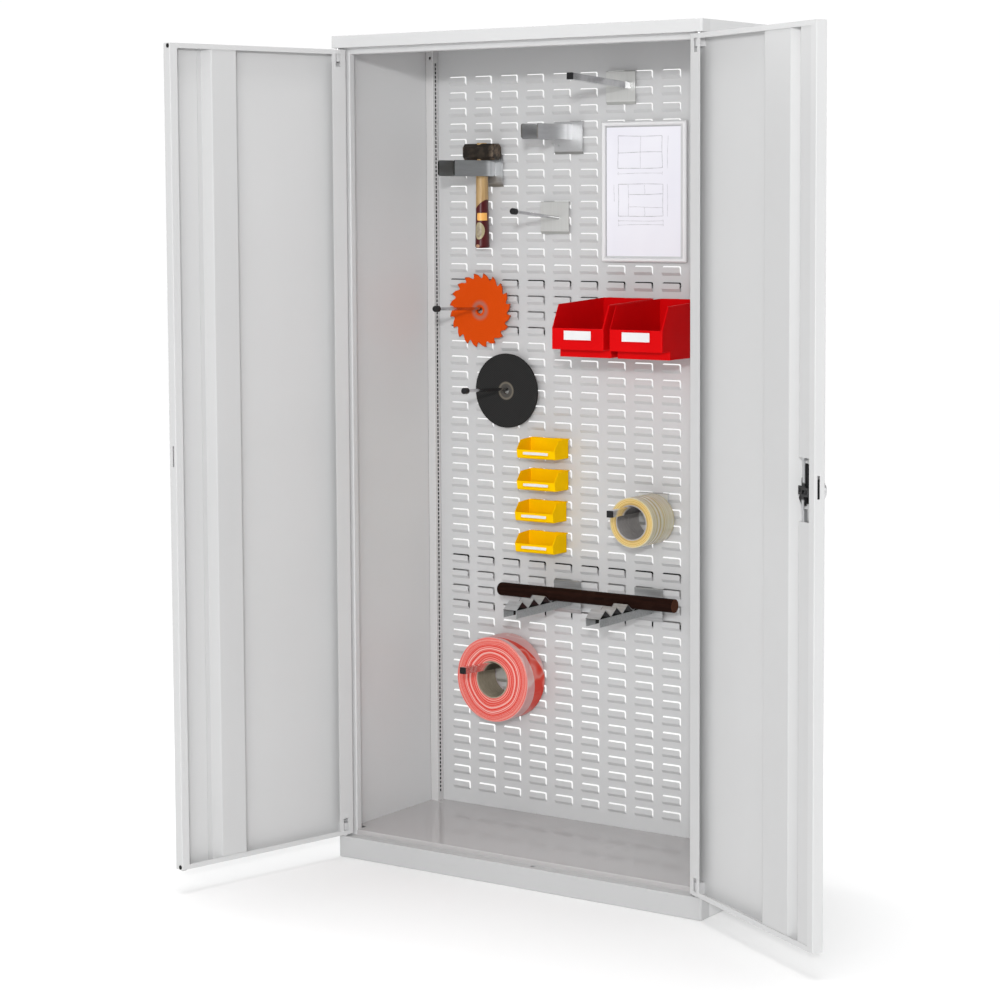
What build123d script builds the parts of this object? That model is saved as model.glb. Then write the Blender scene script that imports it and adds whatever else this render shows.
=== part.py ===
"""Steel tool cabinet with two hinged doors and a louvred back wall with its hooks, bins and tools.

Frame: millimetres, +Z up, the cabinet faces -Y. The origin lies on the floor, in the middle of
the carcass. The doors are built at their resting angles, standing open.
"""

import os
from itertools import pairwise
from math import atan2, cos, pi, radians, sin

from build123d import *

os.makedirs("parts", exist_ok=True)

# ---------------------------------------------------------------- driving dimensions

WIDTH = 1000
DEPTH = 420
HEIGHT = 1950
SHEET = 1.5
BEND = 2.5
CORNER = 5

PLINTH_HEIGHT = 50
FASCIA_HEIGHT = 28
FRAME_SETBACK = 30
SIDE_RETURN = 35
FLANGE_DEPTH = 60

SILL_TOP = 61.5
HEADER_DEPTH = 40.5
POST_WIDTH = 32
POST_RETURN = 17

REAR_POST_FACE = 162
REAR_POST_WIDTH = 22
WALL_FACE = 186.5
WALL_SHEET = 1.25

DOOR_WIDTH = 498
DOOR_DEPTH = 25
DOOR_SHEET = 1.2
DOOR_LOW = 55.5
DOOR_HIGH = 1917.8
DOOR_GAP = 1
HINGE_LIP = 41
FREE_LIP = 20
END_LIP = 11
LEFT_ANGLE = 103.3
RIGHT_ANGLE = 149.9

PIVOT_U = 12
PIVOT_V = 10
PIN_DIAMETER = 8
PIN_LENGTH = 26
RUNNING_FIT = 0.05

LOCK_U = 452
LOCK_Z = 986
LOCK_TRAVEL = 12
KNOB_REACH = 21
BOLT_REACH = 56
BOLT_LEVELS = (13, 17)
ROD_SIZE = 8
ROD_LEVELS = (14.3, 22.3)

LOUVRE_COLUMNS = 12
LOUVRE_PITCH_X = 76
LOUVRE_PITCH_Z = 38
LOUVRE_FIRST_X = -418
LOUVRE_TOP_Z = 1864
TONGUE_WIDTH = 49
TONGUE_HEIGHT = 20
TONGUE_REACH = 6
SLOT_RISE = 2.6
SLOT_SIDE = 0.8
PANEL_ROWS = (15, 18, 14)

PERFORATION = 7
PERFORATION_PITCH = 10
PERFORATION_COUNT = 182
PERFORATION_MIDDLE_Z = 992

HOOK_PLATE = 80
HOOK_PLATE_HEIGHT = 78
HOOK_PLATE_FACE = 174.5
ROUND_BAR_HOOK = 8
SQUARE_BAR_HOOK = 15

BIN_REAR = 177
CLAW_DEPTH = 9
RED_BIN_ROW = 14
RED_BIN_WIDTH = 140
YELLOW_BIN_WIDTH = 110

NOTICE_X = (5, 236)
NOTICE_Z = (1419, 1748)
NOTICE_BACK = 180.5
NOTICE_PAPER = (203, 304)

HAMMER_X = -322
HAMMER_Y = 150
HAMMER_PRONG_LOW = 1623
HAMMER_EYE = (11, 15)
PRONG_HEIGHT = 38

BLADE_X = -341
BLADE_HOOK_Z = 1300
BLADE_DIAMETER = 182
BLADE_BORE = 16
BLADE_Y = 167
BLADE_TEETH = 20
DISC_X = -265
DISC_HOOK_Z = 1106
DISC_DIAMETER = 181
DISC_BORE = 16
DISC_Y = 171
HANGING_GAP = 0.8

PACKING_TAPE = (118, 84, 78)
PACKING_CENTRE = (146, 817)
BARRIER_TAPE = (208, 92, 86)
BARRIER_CENTRE = (-265, 402)
TAPE_BACK = 174

BAR_DIAMETER = 32
BAR_X = (-235, 258)
BAR_VALLEY_Y = 87.5
BAR_VALLEY_Z = 608
BAR_VALLEY_PITCH = 49
BAR_RIDGE = 18
CLEARANCE = 0.3

# ---------------------------------------------------------------- derived levels

FRONT = -DEPTH / 2
BACK = DEPTH / 2
SIDE = WIDTH / 2
FRAME_FACE = FRONT + FRAME_SETBACK
FASCIA_LOW = HEIGHT - FASCIA_HEIGHT
INSIDE_TOP = HEIGHT - SHEET
WALL_BACK = WALL_FACE + WALL_SHEET
DOOR_HEIGHT = DOOR_HIGH - DOOR_LOW
LEFT = -1
RIGHT = 1

# ---------------------------------------------------------------- sketch helpers


def outline(plane, points):
    """Flat face bounded by straight lines through the points."""
    with BuildSketch(plane) as face:
        with BuildLine():
            Polyline(*points, close=True)
        make_face()
    return face.sketch


def strip(plane, path, thickness=SHEET, bend=BEND, side=Side.LEFT):
    """Section of a folded sheet: one skin follows the path, the metal lies on the given side."""
    with BuildSketch(plane) as section:
        with BuildLine():
            FilletPolyline(*path, radius=bend)
            offset(amount=thickness, side=side)
        make_face()
    return section.sketch


def plate(plane, left, right, low, high):
    """Rectangular face between two pairs of edges."""
    with BuildSketch(plane) as face:
        with Locations(((left + right) / 2, (low + high) / 2)):
            Rectangle(right - left, high - low)
    return face.sketch


def disc(plane, diameter, centre=(0, 0), bore=0):
    """Round face, with a round hole when a bore is given."""
    with BuildSketch(plane) as face:
        with Locations(centre):
            Circle(diameter / 2)
            if bore:
                Circle(bore / 2, mode=Mode.SUBTRACT)
    return face.sketch


def level(height):
    """Plan plane at a height."""
    return Plane.XY.offset(height)


def upright(y):
    """Front-facing plane at a depth: x to the right, y upwards, extruding towards the front."""
    return Plane.XZ.offset(-y)


def cross(x):
    """Side-facing plane at a width: x is depth, y is height, extruding to the right."""
    return Plane.YZ.offset(x)


def save(piece, name):
    """Label a finished piece and write its file."""
    piece.part.label = name
    export_step(piece.part, f"parts/{name}.step")


# ---------------------------------------------------------------- carcass


def side_panel(side, name):
    """Outer side sheet, folded inwards along its rear edge."""
    with BuildPart() as panel:
        path = [
            (side * SIDE, FRONT + SIDE_RETURN),
            (side * SIDE, BACK),
            (side * (SIDE - 20), BACK),
        ]
        inner = Side.RIGHT if side == LEFT else Side.LEFT
        extrude(strip(level(0), path, side=inner), amount=INSIDE_TOP)
        edges = sorted((side * SIDE, side * (SIDE - SHEET)))
        front_edge = plate(level(PLINTH_HEIGHT), *edges, FRAME_FACE + SHEET, FRONT + SIDE_RETURN)
        extrude(front_edge, amount=FASCIA_LOW - PLINTH_HEIGHT)
    save(panel, name)


def front_post(side, name):
    """Folded post that the closed door stops against."""
    with BuildPart() as post:
        path = [
            (side * (SIDE - SHEET), FRAME_FACE + 40),
            (side * (SIDE - SHEET), FRAME_FACE),
            (side * (SIDE - POST_WIDTH), FRAME_FACE),
            (side * (SIDE - POST_WIDTH), FRAME_FACE + POST_RETURN),
        ]
        inner = Side.LEFT if side == LEFT else Side.RIGHT
        extrude(strip(level(PLINTH_HEIGHT), path, side=inner), amount=INSIDE_TOP - PLINTH_HEIGHT)
    save(post, name)


def rear_post(side, name):
    """Folded post with a row of square holes in the flange that faces the inside."""
    inside = side * (SIDE - SHEET - REAR_POST_WIDTH)
    with BuildPart() as post:
        path = [
            (side * (SIDE - SHEET), REAR_POST_FACE + 14),
            (side * (SIDE - SHEET), REAR_POST_FACE),
            (inside, REAR_POST_FACE),
            (inside, WALL_FACE),
            (side * (SIDE - 8), WALL_FACE),
        ]
        metal = Side.LEFT if side == LEFT else Side.RIGHT
        extrude(strip(level(SILL_TOP), path, side=metal), amount=INSIDE_TOP - SILL_TOP)
        with BuildSketch(cross(inside)) as holes:
            with Locations((REAR_POST_FACE + 12.5, PERFORATION_MIDDLE_Z)):
                with GridLocations(PERFORATION_PITCH, PERFORATION_PITCH, 1, PERFORATION_COUNT):
                    Rectangle(PERFORATION, PERFORATION)
        extrude(amount=3, both=True, mode=Mode.SUBTRACT)
        fixing = disc(upright(REAR_POST_FACE), 8, (side * (SIDE - 16), HEIGHT - 37))
        extrude(fixing, amount=3, both=True, mode=Mode.SUBTRACT)
    save(post, name)


def tray_plan(height, inset):
    """Plan of the fascia or the plinth, with rounded front corners, drawn in from its outer skin."""
    rear = FRONT + SIDE_RETURN
    with BuildSketch(level(height)) as face:
        with Locations((0, (FRONT + inset + rear) / 2)):
            Rectangle(WIDTH - 2 * inset, rear - FRONT - inset)
        fillet(face.vertices().group_by(Axis.Y)[0], CORNER - inset)
    return face.sketch


def pin_plan(height, diameter):
    """Round faces at both hinge axes."""
    reach = SIDE - DOOR_GAP - PIVOT_U
    with BuildSketch(level(height)) as face:
        with Locations((-reach, FRONT + PIVOT_V), (reach, FRONT + PIVOT_V)):
            Circle(diameter / 2)
    return face.sketch


def top_cover():
    """Top sheet with the fascia that closes over the doors, open below behind the fascia."""
    inner = SIDE - SHEET
    with BuildPart() as cover:
        extrude(tray_plan(FASCIA_LOW, 0), amount=FASCIA_HEIGHT)
        extrude(tray_plan(FASCIA_LOW + SHEET, SHEET), amount=FASCIA_HEIGHT - 2 * SHEET, mode=Mode.SUBTRACT)
        opening = plate(level(FASCIA_LOW), -inner, inner, FRAME_FACE, FRONT + SIDE_RETURN)
        extrude(opening, amount=FASCIA_HEIGHT - SHEET, mode=Mode.SUBTRACT)
        extrude(plate(level(INSIDE_TOP), -SIDE, SIDE, FRONT + SIDE_RETURN, BACK), amount=SHEET)
        rim = cover.edges().filter_by(Axis.X).group_by(Axis.Z)[-1].sort_by(Axis.Y)[0]
        fillet(rim, 1.2)
        rear_flange = plate(level(HEIGHT - 30), -SIDE + 22, SIDE - 22, BACK - SHEET, BACK)
        extrude(rear_flange, amount=30 - SHEET)
        extrude(pin_plan(FASCIA_LOW, PIN_DIAMETER), amount=SHEET, mode=Mode.SUBTRACT)
        extrude(rod_hole(FASCIA_LOW), amount=SHEET, mode=Mode.SUBTRACT)
    save(cover, "top_cover")


def rod_hole(height):
    """Square hole that takes the end of a lock rod when the right door is closed."""
    middle = sum(ROD_LEVELS) / 2
    with BuildSketch(level(height)) as hole:
        with Locations((SIDE - DOOR_GAP - LOCK_U, FRONT + middle)):
            Rectangle(ROD_SIZE + 3, ROD_SIZE + 3)
    return hole.sketch


def plinth():
    """Folded base rail, flush with the closed doors, on a flat frame that lies on the floor."""
    inner = SIDE - SHEET
    under = PLINTH_HEIGHT - SHEET
    with BuildPart() as base:
        extrude(tray_plan(0, 0), amount=PLINTH_HEIGHT)
        extrude(tray_plan(0, SHEET), amount=under, mode=Mode.SUBTRACT)
        rim = base.edges().filter_by(Axis.X).group_by(Axis.Z)[-1].sort_by(Axis.Y)[0]
        fillet(rim, 1.2)
        shelf = plate(level(under), -inner, inner, FRONT + SIDE_RETURN, FRONT + FLANGE_DEPTH)
        extrude(shelf, amount=SHEET)
        toe = plate(level(0), -inner + CORNER, inner - CORNER, FRONT + SHEET, FRONT + 22)
        extrude(toe, amount=SHEET)
        outer, band = inner - 3, 14
        extrude(plate(level(0), -outer, outer, FRONT + 22, BACK - 4), amount=SHEET)
        open_middle = plate(level(0), band - outer, outer - band, FRONT + 22, BACK - 4 - band)
        extrude(open_middle, amount=SHEET, mode=Mode.SUBTRACT)
        extrude(pin_plan(under, PIN_DIAMETER), amount=SHEET, mode=Mode.SUBTRACT)
        extrude(rod_hole(under), amount=SHEET, mode=Mode.SUBTRACT)
    save(base, "plinth")


def header_rail():
    """Folded rail between the front posts, behind the fascia."""
    with BuildPart() as rail:
        path = [
            (FRAME_FACE + 25, INSIDE_TOP - HEADER_DEPTH),
            (FRAME_FACE, INSIDE_TOP - HEADER_DEPTH),
            (FRAME_FACE, INSIDE_TOP),
        ]
        reach = SIDE - POST_WIDTH
        extrude(strip(cross(0), path, side=Side.RIGHT), amount=reach, both=True)
    save(rail, "header_rail")


def floor_panel():
    """Floor sheet with a folded sill in front and a folded rear edge."""
    with BuildPart() as floor:
        path = [
            (FRAME_FACE, PLINTH_HEIGHT),
            (FRAME_FACE, SILL_TOP),
            (BACK - BEND, SILL_TOP),
            (BACK - BEND, SILL_TOP - 30),
        ]
        extrude(strip(cross(0), path, side=Side.RIGHT), amount=SIDE - SHEET, both=True)
        for side in (LEFT, RIGHT):
            edges = sorted((side * (SIDE - POST_WIDTH), side * SIDE))
            notch = plate(level(0), *edges, FRAME_FACE - 1, FRAME_FACE + 40)
            extrude(notch, amount=PLINTH_HEIGHT + 20, mode=Mode.SUBTRACT)
            access = disc(level(SILL_TOP), 10, (side * (SIDE - 36), REAR_POST_FACE - 4))
            extrude(access, amount=3, both=True, mode=Mode.SUBTRACT)
    save(floor, "floor_panel")


def levelling_feet():
    """Four screwed feet under the floor, set level from inside the cabinet."""
    spots = [
        (side * (SIDE - 36), depth) for side in (LEFT, RIGHT) for depth in (-140, REAR_POST_FACE - 4)
    ]
    with BuildPart() as feet:
        for spot in spots:
            extrude(disc(level(0), 34, spot), amount=5)
            extrude(disc(level(5), 10, spot), amount=SILL_TOP - SHEET - 5)
            with BuildSketch(level(SILL_TOP - SHEET - 9)):
                with Locations(spot):
                    RegularPolygon(9, 6)
            extrude(amount=9)
    save(feet, "levelling_feet")


def louvred_panel(name, first_row, rows):
    """One length of the louvred back wall: slots with a tongue raised from the lower edge."""
    top = LOUVRE_TOP_Z - LOUVRE_PITCH_Z * first_row
    last = top - LOUVRE_PITCH_Z * (rows - 1)
    is_first = first_row == 0
    is_last = first_row + rows == sum(PANEL_ROWS)
    sheet_top = INSIDE_TOP if is_first else top + 9
    sheet_low = SILL_TOP if is_last else last + 9 - LOUVRE_PITCH_Z
    half = SIDE - SHEET - 3
    middle = (LOUVRE_FIRST_X + (LOUVRE_COLUMNS - 1) * LOUVRE_PITCH_X / 2, (top + last) / 2)
    with BuildSketch() as slot:
        with Locations((0, (SLOT_RISE - TONGUE_HEIGHT) / 2)):
            Rectangle(TONGUE_WIDTH + 2 * SLOT_SIDE, TONGUE_HEIGHT + SLOT_RISE)
        fillet(slot.vertices().group_by(Axis.Y)[-1], 4.5)
    with BuildPart() as tongue:
        step = TONGUE_HEIGHT - 7.5
        front = WALL_FACE - TONGUE_REACH
        section = [
            (WALL_BACK, -TONGUE_HEIGHT),
            (WALL_FACE, -TONGUE_HEIGHT),
            (front, -step),
            (front, 0),
            (front + WALL_SHEET, 0),
            (front + WALL_SHEET, -step + 0.5),
            (WALL_BACK, -TONGUE_HEIGHT + 1.6),
        ]
        extrude(outline(cross(0), section), amount=TONGUE_WIDTH / 2, both=True)
        fillet(tongue.edges().filter_by(Axis.Y).group_by(Axis.Z)[-1], 3.5)
    with BuildPart() as panel:
        with BuildSketch(upright(WALL_BACK)) as sheet:
            with Locations((0, (sheet_top + sheet_low) / 2)):
                Rectangle(2 * half, sheet_top - sheet_low)
            with Locations(middle):
                with GridLocations(LOUVRE_PITCH_X, LOUVRE_PITCH_Z, LOUVRE_COLUMNS, rows):
                    add(slot.sketch, mode=Mode.SUBTRACT)
        extrude(amount=WALL_SHEET)
        spots = [
            (LOUVRE_FIRST_X + LOUVRE_PITCH_X * column, 0, top - LOUVRE_PITCH_Z * row)
            for column in range(LOUVRE_COLUMNS)
            for row in range(rows)
        ]
        add([Pos(*spot) * tongue.part for spot in spots])
    save(panel, name)


def back_rail(name, low):
    """Hat rail across the rear of the louvred wall."""
    with BuildPart() as rail:
        path = [
            (WALL_BACK, low),
            (WALL_BACK, low + 18),
            (BACK - SHEET - 1, low + 24),
            (BACK - SHEET - 1, low + 126),
            (WALL_BACK, low + 132),
            (WALL_BACK, low + 150),
        ]
        extrude(strip(cross(0), path, side=Side.RIGHT), amount=SIDE - 21, both=True)
    save(rail, name)


def back_panel_screws():
    """Pan head screws that hold the louvred wall to the rear posts."""
    heights = [150 + 330 * step for step in range(6)]
    with BuildPart() as screws:
        for side in (LEFT, RIGHT):
            for height in heights:
                spot = (side * (SIDE - 12), height)
                extrude(disc(upright(WALL_BACK + 3), 9, spot), amount=3)
    save(screws, "back_panel_screws")


def hinge_pins():
    """Four pins: two hang from the fascia, two stand on the plinth with a bearing collar."""
    head = 2.5
    top_pin_low = FASCIA_LOW - PIN_LENGTH
    base = PLINTH_HEIGHT - SHEET
    fascia_top = FASCIA_LOW + SHEET
    with BuildPart() as pins:
        extrude(pin_plan(top_pin_low, PIN_DIAMETER), amount=fascia_top - top_pin_low)
        extrude(pin_plan(fascia_top, 12), amount=head)
        extrude(pin_plan(base - head, 12), amount=head)
        extrude(pin_plan(base, PIN_DIAMETER), amount=PLINTH_HEIGHT + PIN_LENGTH - base)
        extrude(pin_plan(PLINTH_HEIGHT, 16), amount=DOOR_LOW - CLEARANCE - PLINTH_HEIGHT)
    save(pins, "hinge_pins")


# ---------------------------------------------------------------- doors


def leaf_axes(side):
    """Directions along a door from its hinge edge, and inwards through its depth."""
    angle = radians(LEFT_ANGLE if side == LEFT else RIGHT_ANGLE)
    along = Vector(-side * cos(angle), -sin(angle), 0)
    inward = Vector(-side * sin(angle), cos(angle), 0)
    return along, inward


def leaf_point(side, u, v, height):
    """Point of a door: u from its hinge edge, v from its outer skin."""
    along, inward = leaf_axes(side)
    pivot = Vector(side * (SIDE - DOOR_GAP - PIVOT_U), FRONT + PIVOT_V, height)
    return pivot + along * (u - PIVOT_U) + inward * (v - PIVOT_V)


def leaf_level(side, low, high):
    """Plan plane of a door, with x along it and y inwards; it extrudes from one level to the other."""
    along, _ = leaf_axes(side)
    start = low if side == LEFT else high
    return Plane(leaf_point(side, 0, 0, start), x_dir=along, z_dir=(0, 0, -side))


def leaf_front(side, v):
    """Plane parallel to a door's skin, with x along the door and y upwards."""
    along, inward = leaf_axes(side)
    return Plane(leaf_point(side, 0, v, 0), x_dir=along, z_dir=inward * side)


def leaf_end(side, u):
    """Plane across a door, with x inwards and y upwards."""
    along, inward = leaf_axes(side)
    return Plane(leaf_point(side, u, 0, 0), x_dir=inward, z_dir=along * -side)


def leaf_slab(side, u_range, v_range, low, high):
    """Plan face and height of an upright block of a door."""
    return plate(leaf_level(side, low, high), *u_range, *v_range), high - low


def door_pan(side):
    """Door sheet folded to a pan, with lips around its inner side and holes for the hinge pins."""
    inside = (DOOR_SHEET, DOOR_WIDTH - DOOR_SHEET)
    hollow = (DOOR_SHEET, DOOR_DEPTH - DOOR_SHEET)
    with BuildPart() as pan:
        face, height = leaf_slab(side, (0, DOOR_WIDTH), (0, DOOR_DEPTH), DOOR_LOW, DOOR_HIGH)
        extrude(face, amount=height)
        fillet(pan.edges().filter_by(Axis.Z), 2)
        low = DOOR_LOW + DOOR_SHEET
        high = DOOR_HIGH - DOOR_SHEET
        face, height = leaf_slab(side, inside, hollow, low, high)
        extrude(face, amount=height, mode=Mode.SUBTRACT)
        lips = (HINGE_LIP, DOOR_WIDTH - FREE_LIP)
        window, height = leaf_slab(
            side, lips, (DOOR_DEPTH - 3, DOOR_DEPTH + 1), DOOR_LOW + END_LIP, DOOR_HIGH - END_LIP
        )
        extrude(window, amount=height, mode=Mode.SUBTRACT)
        pivots = disc(leaf_level(side, DOOR_LOW - 1, DOOR_HIGH + 1), 10, (PIVOT_U, PIVOT_V))
        extrude(pivots, amount=DOOR_HEIGHT + 2, mode=Mode.SUBTRACT)
        for slot_low, slot_high in ((65, 95), (1878, 1908)):
            slot = plate(leaf_front(side, DOOR_DEPTH), 16, 30, slot_low, slot_high)
            extrude(slot, amount=3, both=True, mode=Mode.SUBTRACT)
        bolt_slot = plate(leaf_end(side, DOOR_WIDTH), 12, 18, LOCK_Z - 12, LOCK_Z + 35)
        extrude(bolt_slot, amount=4, both=True, mode=Mode.SUBTRACT)
    return pan.part


def left_door_panel():
    """Left door sheet, with four small holes for its buffers."""
    pan = door_pan(LEFT)
    with BuildPart() as panel:
        add(pan)
        for height in (61.5, 1911.5):
            hole = disc(leaf_end(LEFT, DOOR_WIDTH), 4, (18, height))
            extrude(hole, amount=4, both=True, mode=Mode.SUBTRACT)
    save(panel, "left_door_panel")


def right_door_panel():
    """Right door sheet, with the lock's round hole and the passages of the lock rods."""
    pan = door_pan(RIGHT)
    with BuildPart() as panel:
        add(pan)
        hub = disc(leaf_front(RIGHT, 0), 26, (LOCK_U, LOCK_Z))
        extrude(hub, amount=4, both=True, mode=Mode.SUBTRACT)
        middle = sum(ROD_LEVELS) / 2
        reach = ROD_SIZE / 2 + 0.75
        passage, height = leaf_slab(
            RIGHT,
            (LOCK_U - reach, LOCK_U + reach),
            (middle - reach, middle + reach),
            DOOR_LOW - 1,
            DOOR_HIGH + 1,
        )
        extrude(passage, amount=height, mode=Mode.SUBTRACT)
    save(panel, "right_door_panel")


def door_stiffener(side, name, path):
    """Folded stiffener along the whole height of a door."""
    low = DOOR_LOW + DOOR_SHEET + 1
    high = DOOR_HIGH - DOOR_SHEET - 1
    with BuildPart() as stiffener:
        section = strip(leaf_level(side, low, high), path, DOOR_SHEET, side=Side.LEFT)
        extrude(section, amount=high - low)
    save(stiffener, name)


def door_bushes(side, name):
    """Two bearing blocks inside a door that turn on the hinge pins."""
    bore = PIN_DIAMETER + 2 * RUNNING_FIT
    top = DOOR_HIGH - DOOR_SHEET
    base = DOOR_LOW + DOOR_SHEET
    with BuildPart() as bushes:
        for low, high in ((base, base + 26), (top - 26, top)):
            block, height = leaf_slab(side, (DOOR_SHEET, 24), (DOOR_SHEET, 21), low, high)
            extrude(block, amount=height)
        low_bore = (base - 1, PLINTH_HEIGHT + PIN_LENGTH + 1)
        top_bore = (FASCIA_LOW - PIN_LENGTH - 1, top + 1)
        for low, high in (low_bore, top_bore):
            hole = disc(leaf_level(side, low, high), bore, (PIVOT_U, PIVOT_V))
            extrude(hole, amount=high - low, mode=Mode.SUBTRACT)
    save(bushes, name)


def door_buffers():
    """Rubber buttons on the free edge of the left door, one near each end, and a bottom glide."""
    with BuildPart() as buffers:
        for height in (61.5, 1911.5):
            head = disc(leaf_end(LEFT, DOOR_WIDTH), 9.6, (18, height))
            extrude(head, amount=1.3)
            stem = disc(leaf_end(LEFT, DOOR_WIDTH), 4, (18, height))
            extrude(stem, amount=-DOOR_SHEET - 2)
        glide_high = DOOR_LOW
        glide = plate(leaf_level(LEFT, glide_high - 1.6, glide_high), DOOR_WIDTH - 14, DOOR_WIDTH - 3, 13, 22)
        extrude(glide, amount=1.6)
    save(buffers, "left_door_buffers")


def lock_channel():
    """Two lengths of cover over the lock rods, open around the lock."""
    lengths = ((DOOR_LOW + DOOR_SHEET + 1, 925), (1054, DOOR_HIGH - DOOR_SHEET - 1))
    face = DOOR_DEPTH - DOOR_SHEET - 0.2
    path = [(438, DOOR_SHEET), (438, face), (477, face), (477, DOOR_SHEET)]
    with BuildPart() as channel:
        for low, high in lengths:
            section = strip(leaf_level(RIGHT, low, high), path, 1, 1.5, Side.RIGHT)
            extrude(section, amount=high - low)
    save(channel, "lock_channel")


def lock_case():
    """Outer rose and inner bearing of the turn handle, clamped through the door sheet."""
    with BuildPart() as case:
        front = leaf_front(RIGHT, 0)
        extrude(disc(front, 50, (LOCK_U, LOCK_Z), 20 + 2 * RUNNING_FIT), amount=-3)
        rims = case.edges().filter_by(GeomType.CIRCLE).group_by(SortBy.RADIUS)[-1]
        fillet(rims.sort_by(Axis(front.origin, front.z_dir))[0], 0.8)
        extrude(disc(front, 26, (LOCK_U, LOCK_Z), 20 + 2 * RUNNING_FIT), amount=DOOR_SHEET)
        base = leaf_front(RIGHT, DOOR_SHEET)
        with BuildSketch(base):
            with Locations((LOCK_U + 10, LOCK_Z)):
                RectangleRounded(66, 52, 4)
            with Locations((LOCK_U, LOCK_Z)):
                Circle(10 + RUNNING_FIT, mode=Mode.SUBTRACT)
        extrude(amount=10.5)
    save(case, "lock_case")


def turn_handle():
    """Round turning knob with two finger pockets, its neck and the square spindle."""
    spot = (LOCK_U, LOCK_Z)
    with BuildPart() as handle:
        extrude(disc(leaf_front(RIGHT, -3.3), 44, spot), amount=3.3 - KNOB_REACH)
        fillet(handle.edges().filter_by(GeomType.CIRCLE), 3)
        for pocket_side in (-1, 1):
            with BuildSketch(leaf_front(RIGHT, -KNOB_REACH)):
                with Locations(spot):
                    Circle(18)
                with Locations((LOCK_U - pocket_side * 14, LOCK_Z)):
                    Rectangle(40, 60, mode=Mode.SUBTRACT)
            extrude(amount=10, mode=Mode.SUBTRACT)
        extrude(disc(leaf_front(RIGHT, -3.3), 20, spot), amount=12.2)
        plug_bore = disc(leaf_front(RIGHT, -KNOB_REACH), 8 + 2 * RUNNING_FIT, spot)
        extrude(plug_bore, amount=KNOB_REACH - 6, mode=Mode.SUBTRACT)
    save(handle, "turn_handle")


def lock_cylinder():
    """Key plug in the middle of the turning knob, with its keyway."""
    spot = (LOCK_U, LOCK_Z)
    with BuildPart() as plug:
        extrude(disc(leaf_front(RIGHT, -KNOB_REACH - 0.4), 8, spot), amount=KNOB_REACH - 6)
        keyway = plate(
            leaf_front(RIGHT, -KNOB_REACH - 0.4), LOCK_U - 0.8, LOCK_U + 0.8, LOCK_Z - 2.8, LOCK_Z + 2.8
        )
        extrude(keyway, amount=6, mode=Mode.SUBTRACT)
    save(plug, "lock_cylinder")


def lock_cam():
    """Hub disc with the locking bolt, the stop lobe and the two pins that drive the rods."""
    spot = (LOCK_U, LOCK_Z)
    bolt_low, bolt_high = BOLT_LEVELS
    with BuildPart() as cam:
        extrude(disc(leaf_front(RIGHT, 8.9), 19, spot), amount=bolt_low - 8.9)
        with BuildSketch(leaf_front(RIGHT, bolt_low)):
            with Locations(spot):
                Circle(11)
            with Locations((LOCK_U, LOCK_Z + (BOLT_REACH - 9) / 2)):
                Rectangle(18, BOLT_REACH - 9)
            with Locations((LOCK_U, LOCK_Z + BOLT_REACH - 9)):
                Circle(9)
        extrude(amount=bolt_high - bolt_low)
        with BuildSketch(leaf_front(RIGHT, bolt_high)):
            with Locations(spot):
                RectangleRounded(38, 17, 3)
            with BuildLine():
                Polyline(
                    (LOCK_U - 15, LOCK_Z - 4),
                    (LOCK_U - 21, LOCK_Z - 15),
                    (LOCK_U - 9, LOCK_Z - 29),
                    (LOCK_U + 6, LOCK_Z - 29),
                    (LOCK_U + 4, LOCK_Z - 4),
                    close=True,
                )
            make_face()
        extrude(amount=2.4)
        for offset_u in (-LOCK_TRAVEL, LOCK_TRAVEL):
            pin = disc(leaf_front(RIGHT, bolt_high + 2.4), 5, (LOCK_U + offset_u, LOCK_Z))
            extrude(pin, amount=4.8)
    save(cam, "lock_cam")


def lock_rod(name, direction, plate_level, rod_start, rod_end):
    """Square rod whose end plate is driven by a cam pin through a clearance window."""
    window_long = LOCK_TRAVEL + 2.5 + 0.5 + 3
    window_side = -direction
    with BuildPart() as rod:
        face = leaf_front(RIGHT, plate_level)
        with BuildSketch(face):
            with Locations((LOCK_U + window_side * 6, LOCK_Z + direction * 1.25)):
                RectangleRounded(window_long + 10, 8.5 + 10, 2)
                Rectangle(window_long, 8.5, mode=Mode.SUBTRACT)
            with Locations((LOCK_U, LOCK_Z + direction * (8 + rod_start + 2) / 2)):
                Rectangle(ROD_SIZE, rod_start + 2 - 8)
        extrude(amount=1.5)
        low, high = sorted((LOCK_Z + direction * rod_start, rod_end))
        half = ROD_SIZE / 2
        body, height = leaf_slab(RIGHT, (LOCK_U - half, LOCK_U + half), ROD_LEVELS, low, high)
        extrude(body, amount=height)
    save(rod, name)


# ---------------------------------------------------------------- wall fittings


def row_top(row):
    """Height of the upper edge of a row of tongues."""
    return LOUVRE_TOP_Z - LOUVRE_PITCH_Z * row


def hook_plate(left, width, row):
    """Folded plate that hangs over the tongues of one row and stands off the wall."""
    top = row_top(row) + SHEET
    low = top - HOOK_PLATE_HEIGHT
    face = HOOK_PLATE_FACE
    claw = WALL_FACE - 2.9
    path = [(claw, top - 9), (claw, top), (face, top), (face, low + 10), (face + 3.5, low)]
    with BuildPart() as holder:
        section = strip(cross(left + width / 2), path, bend=1.8, side=Side.LEFT)
        extrude(section, amount=width / 2, both=True)
    return holder.part


def bar_plane(root, tip):
    """Plane at the foot of a straight hook bar, facing its tip."""
    start = Vector(*root)
    return Plane(start, x_dir=(1, 0, 0), z_dir=Vector(*tip) - start)


def bar_length(root, tip):
    """Distance from the foot to the tip of a hook bar."""
    return (Vector(*tip) - Vector(*root)).length


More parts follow.
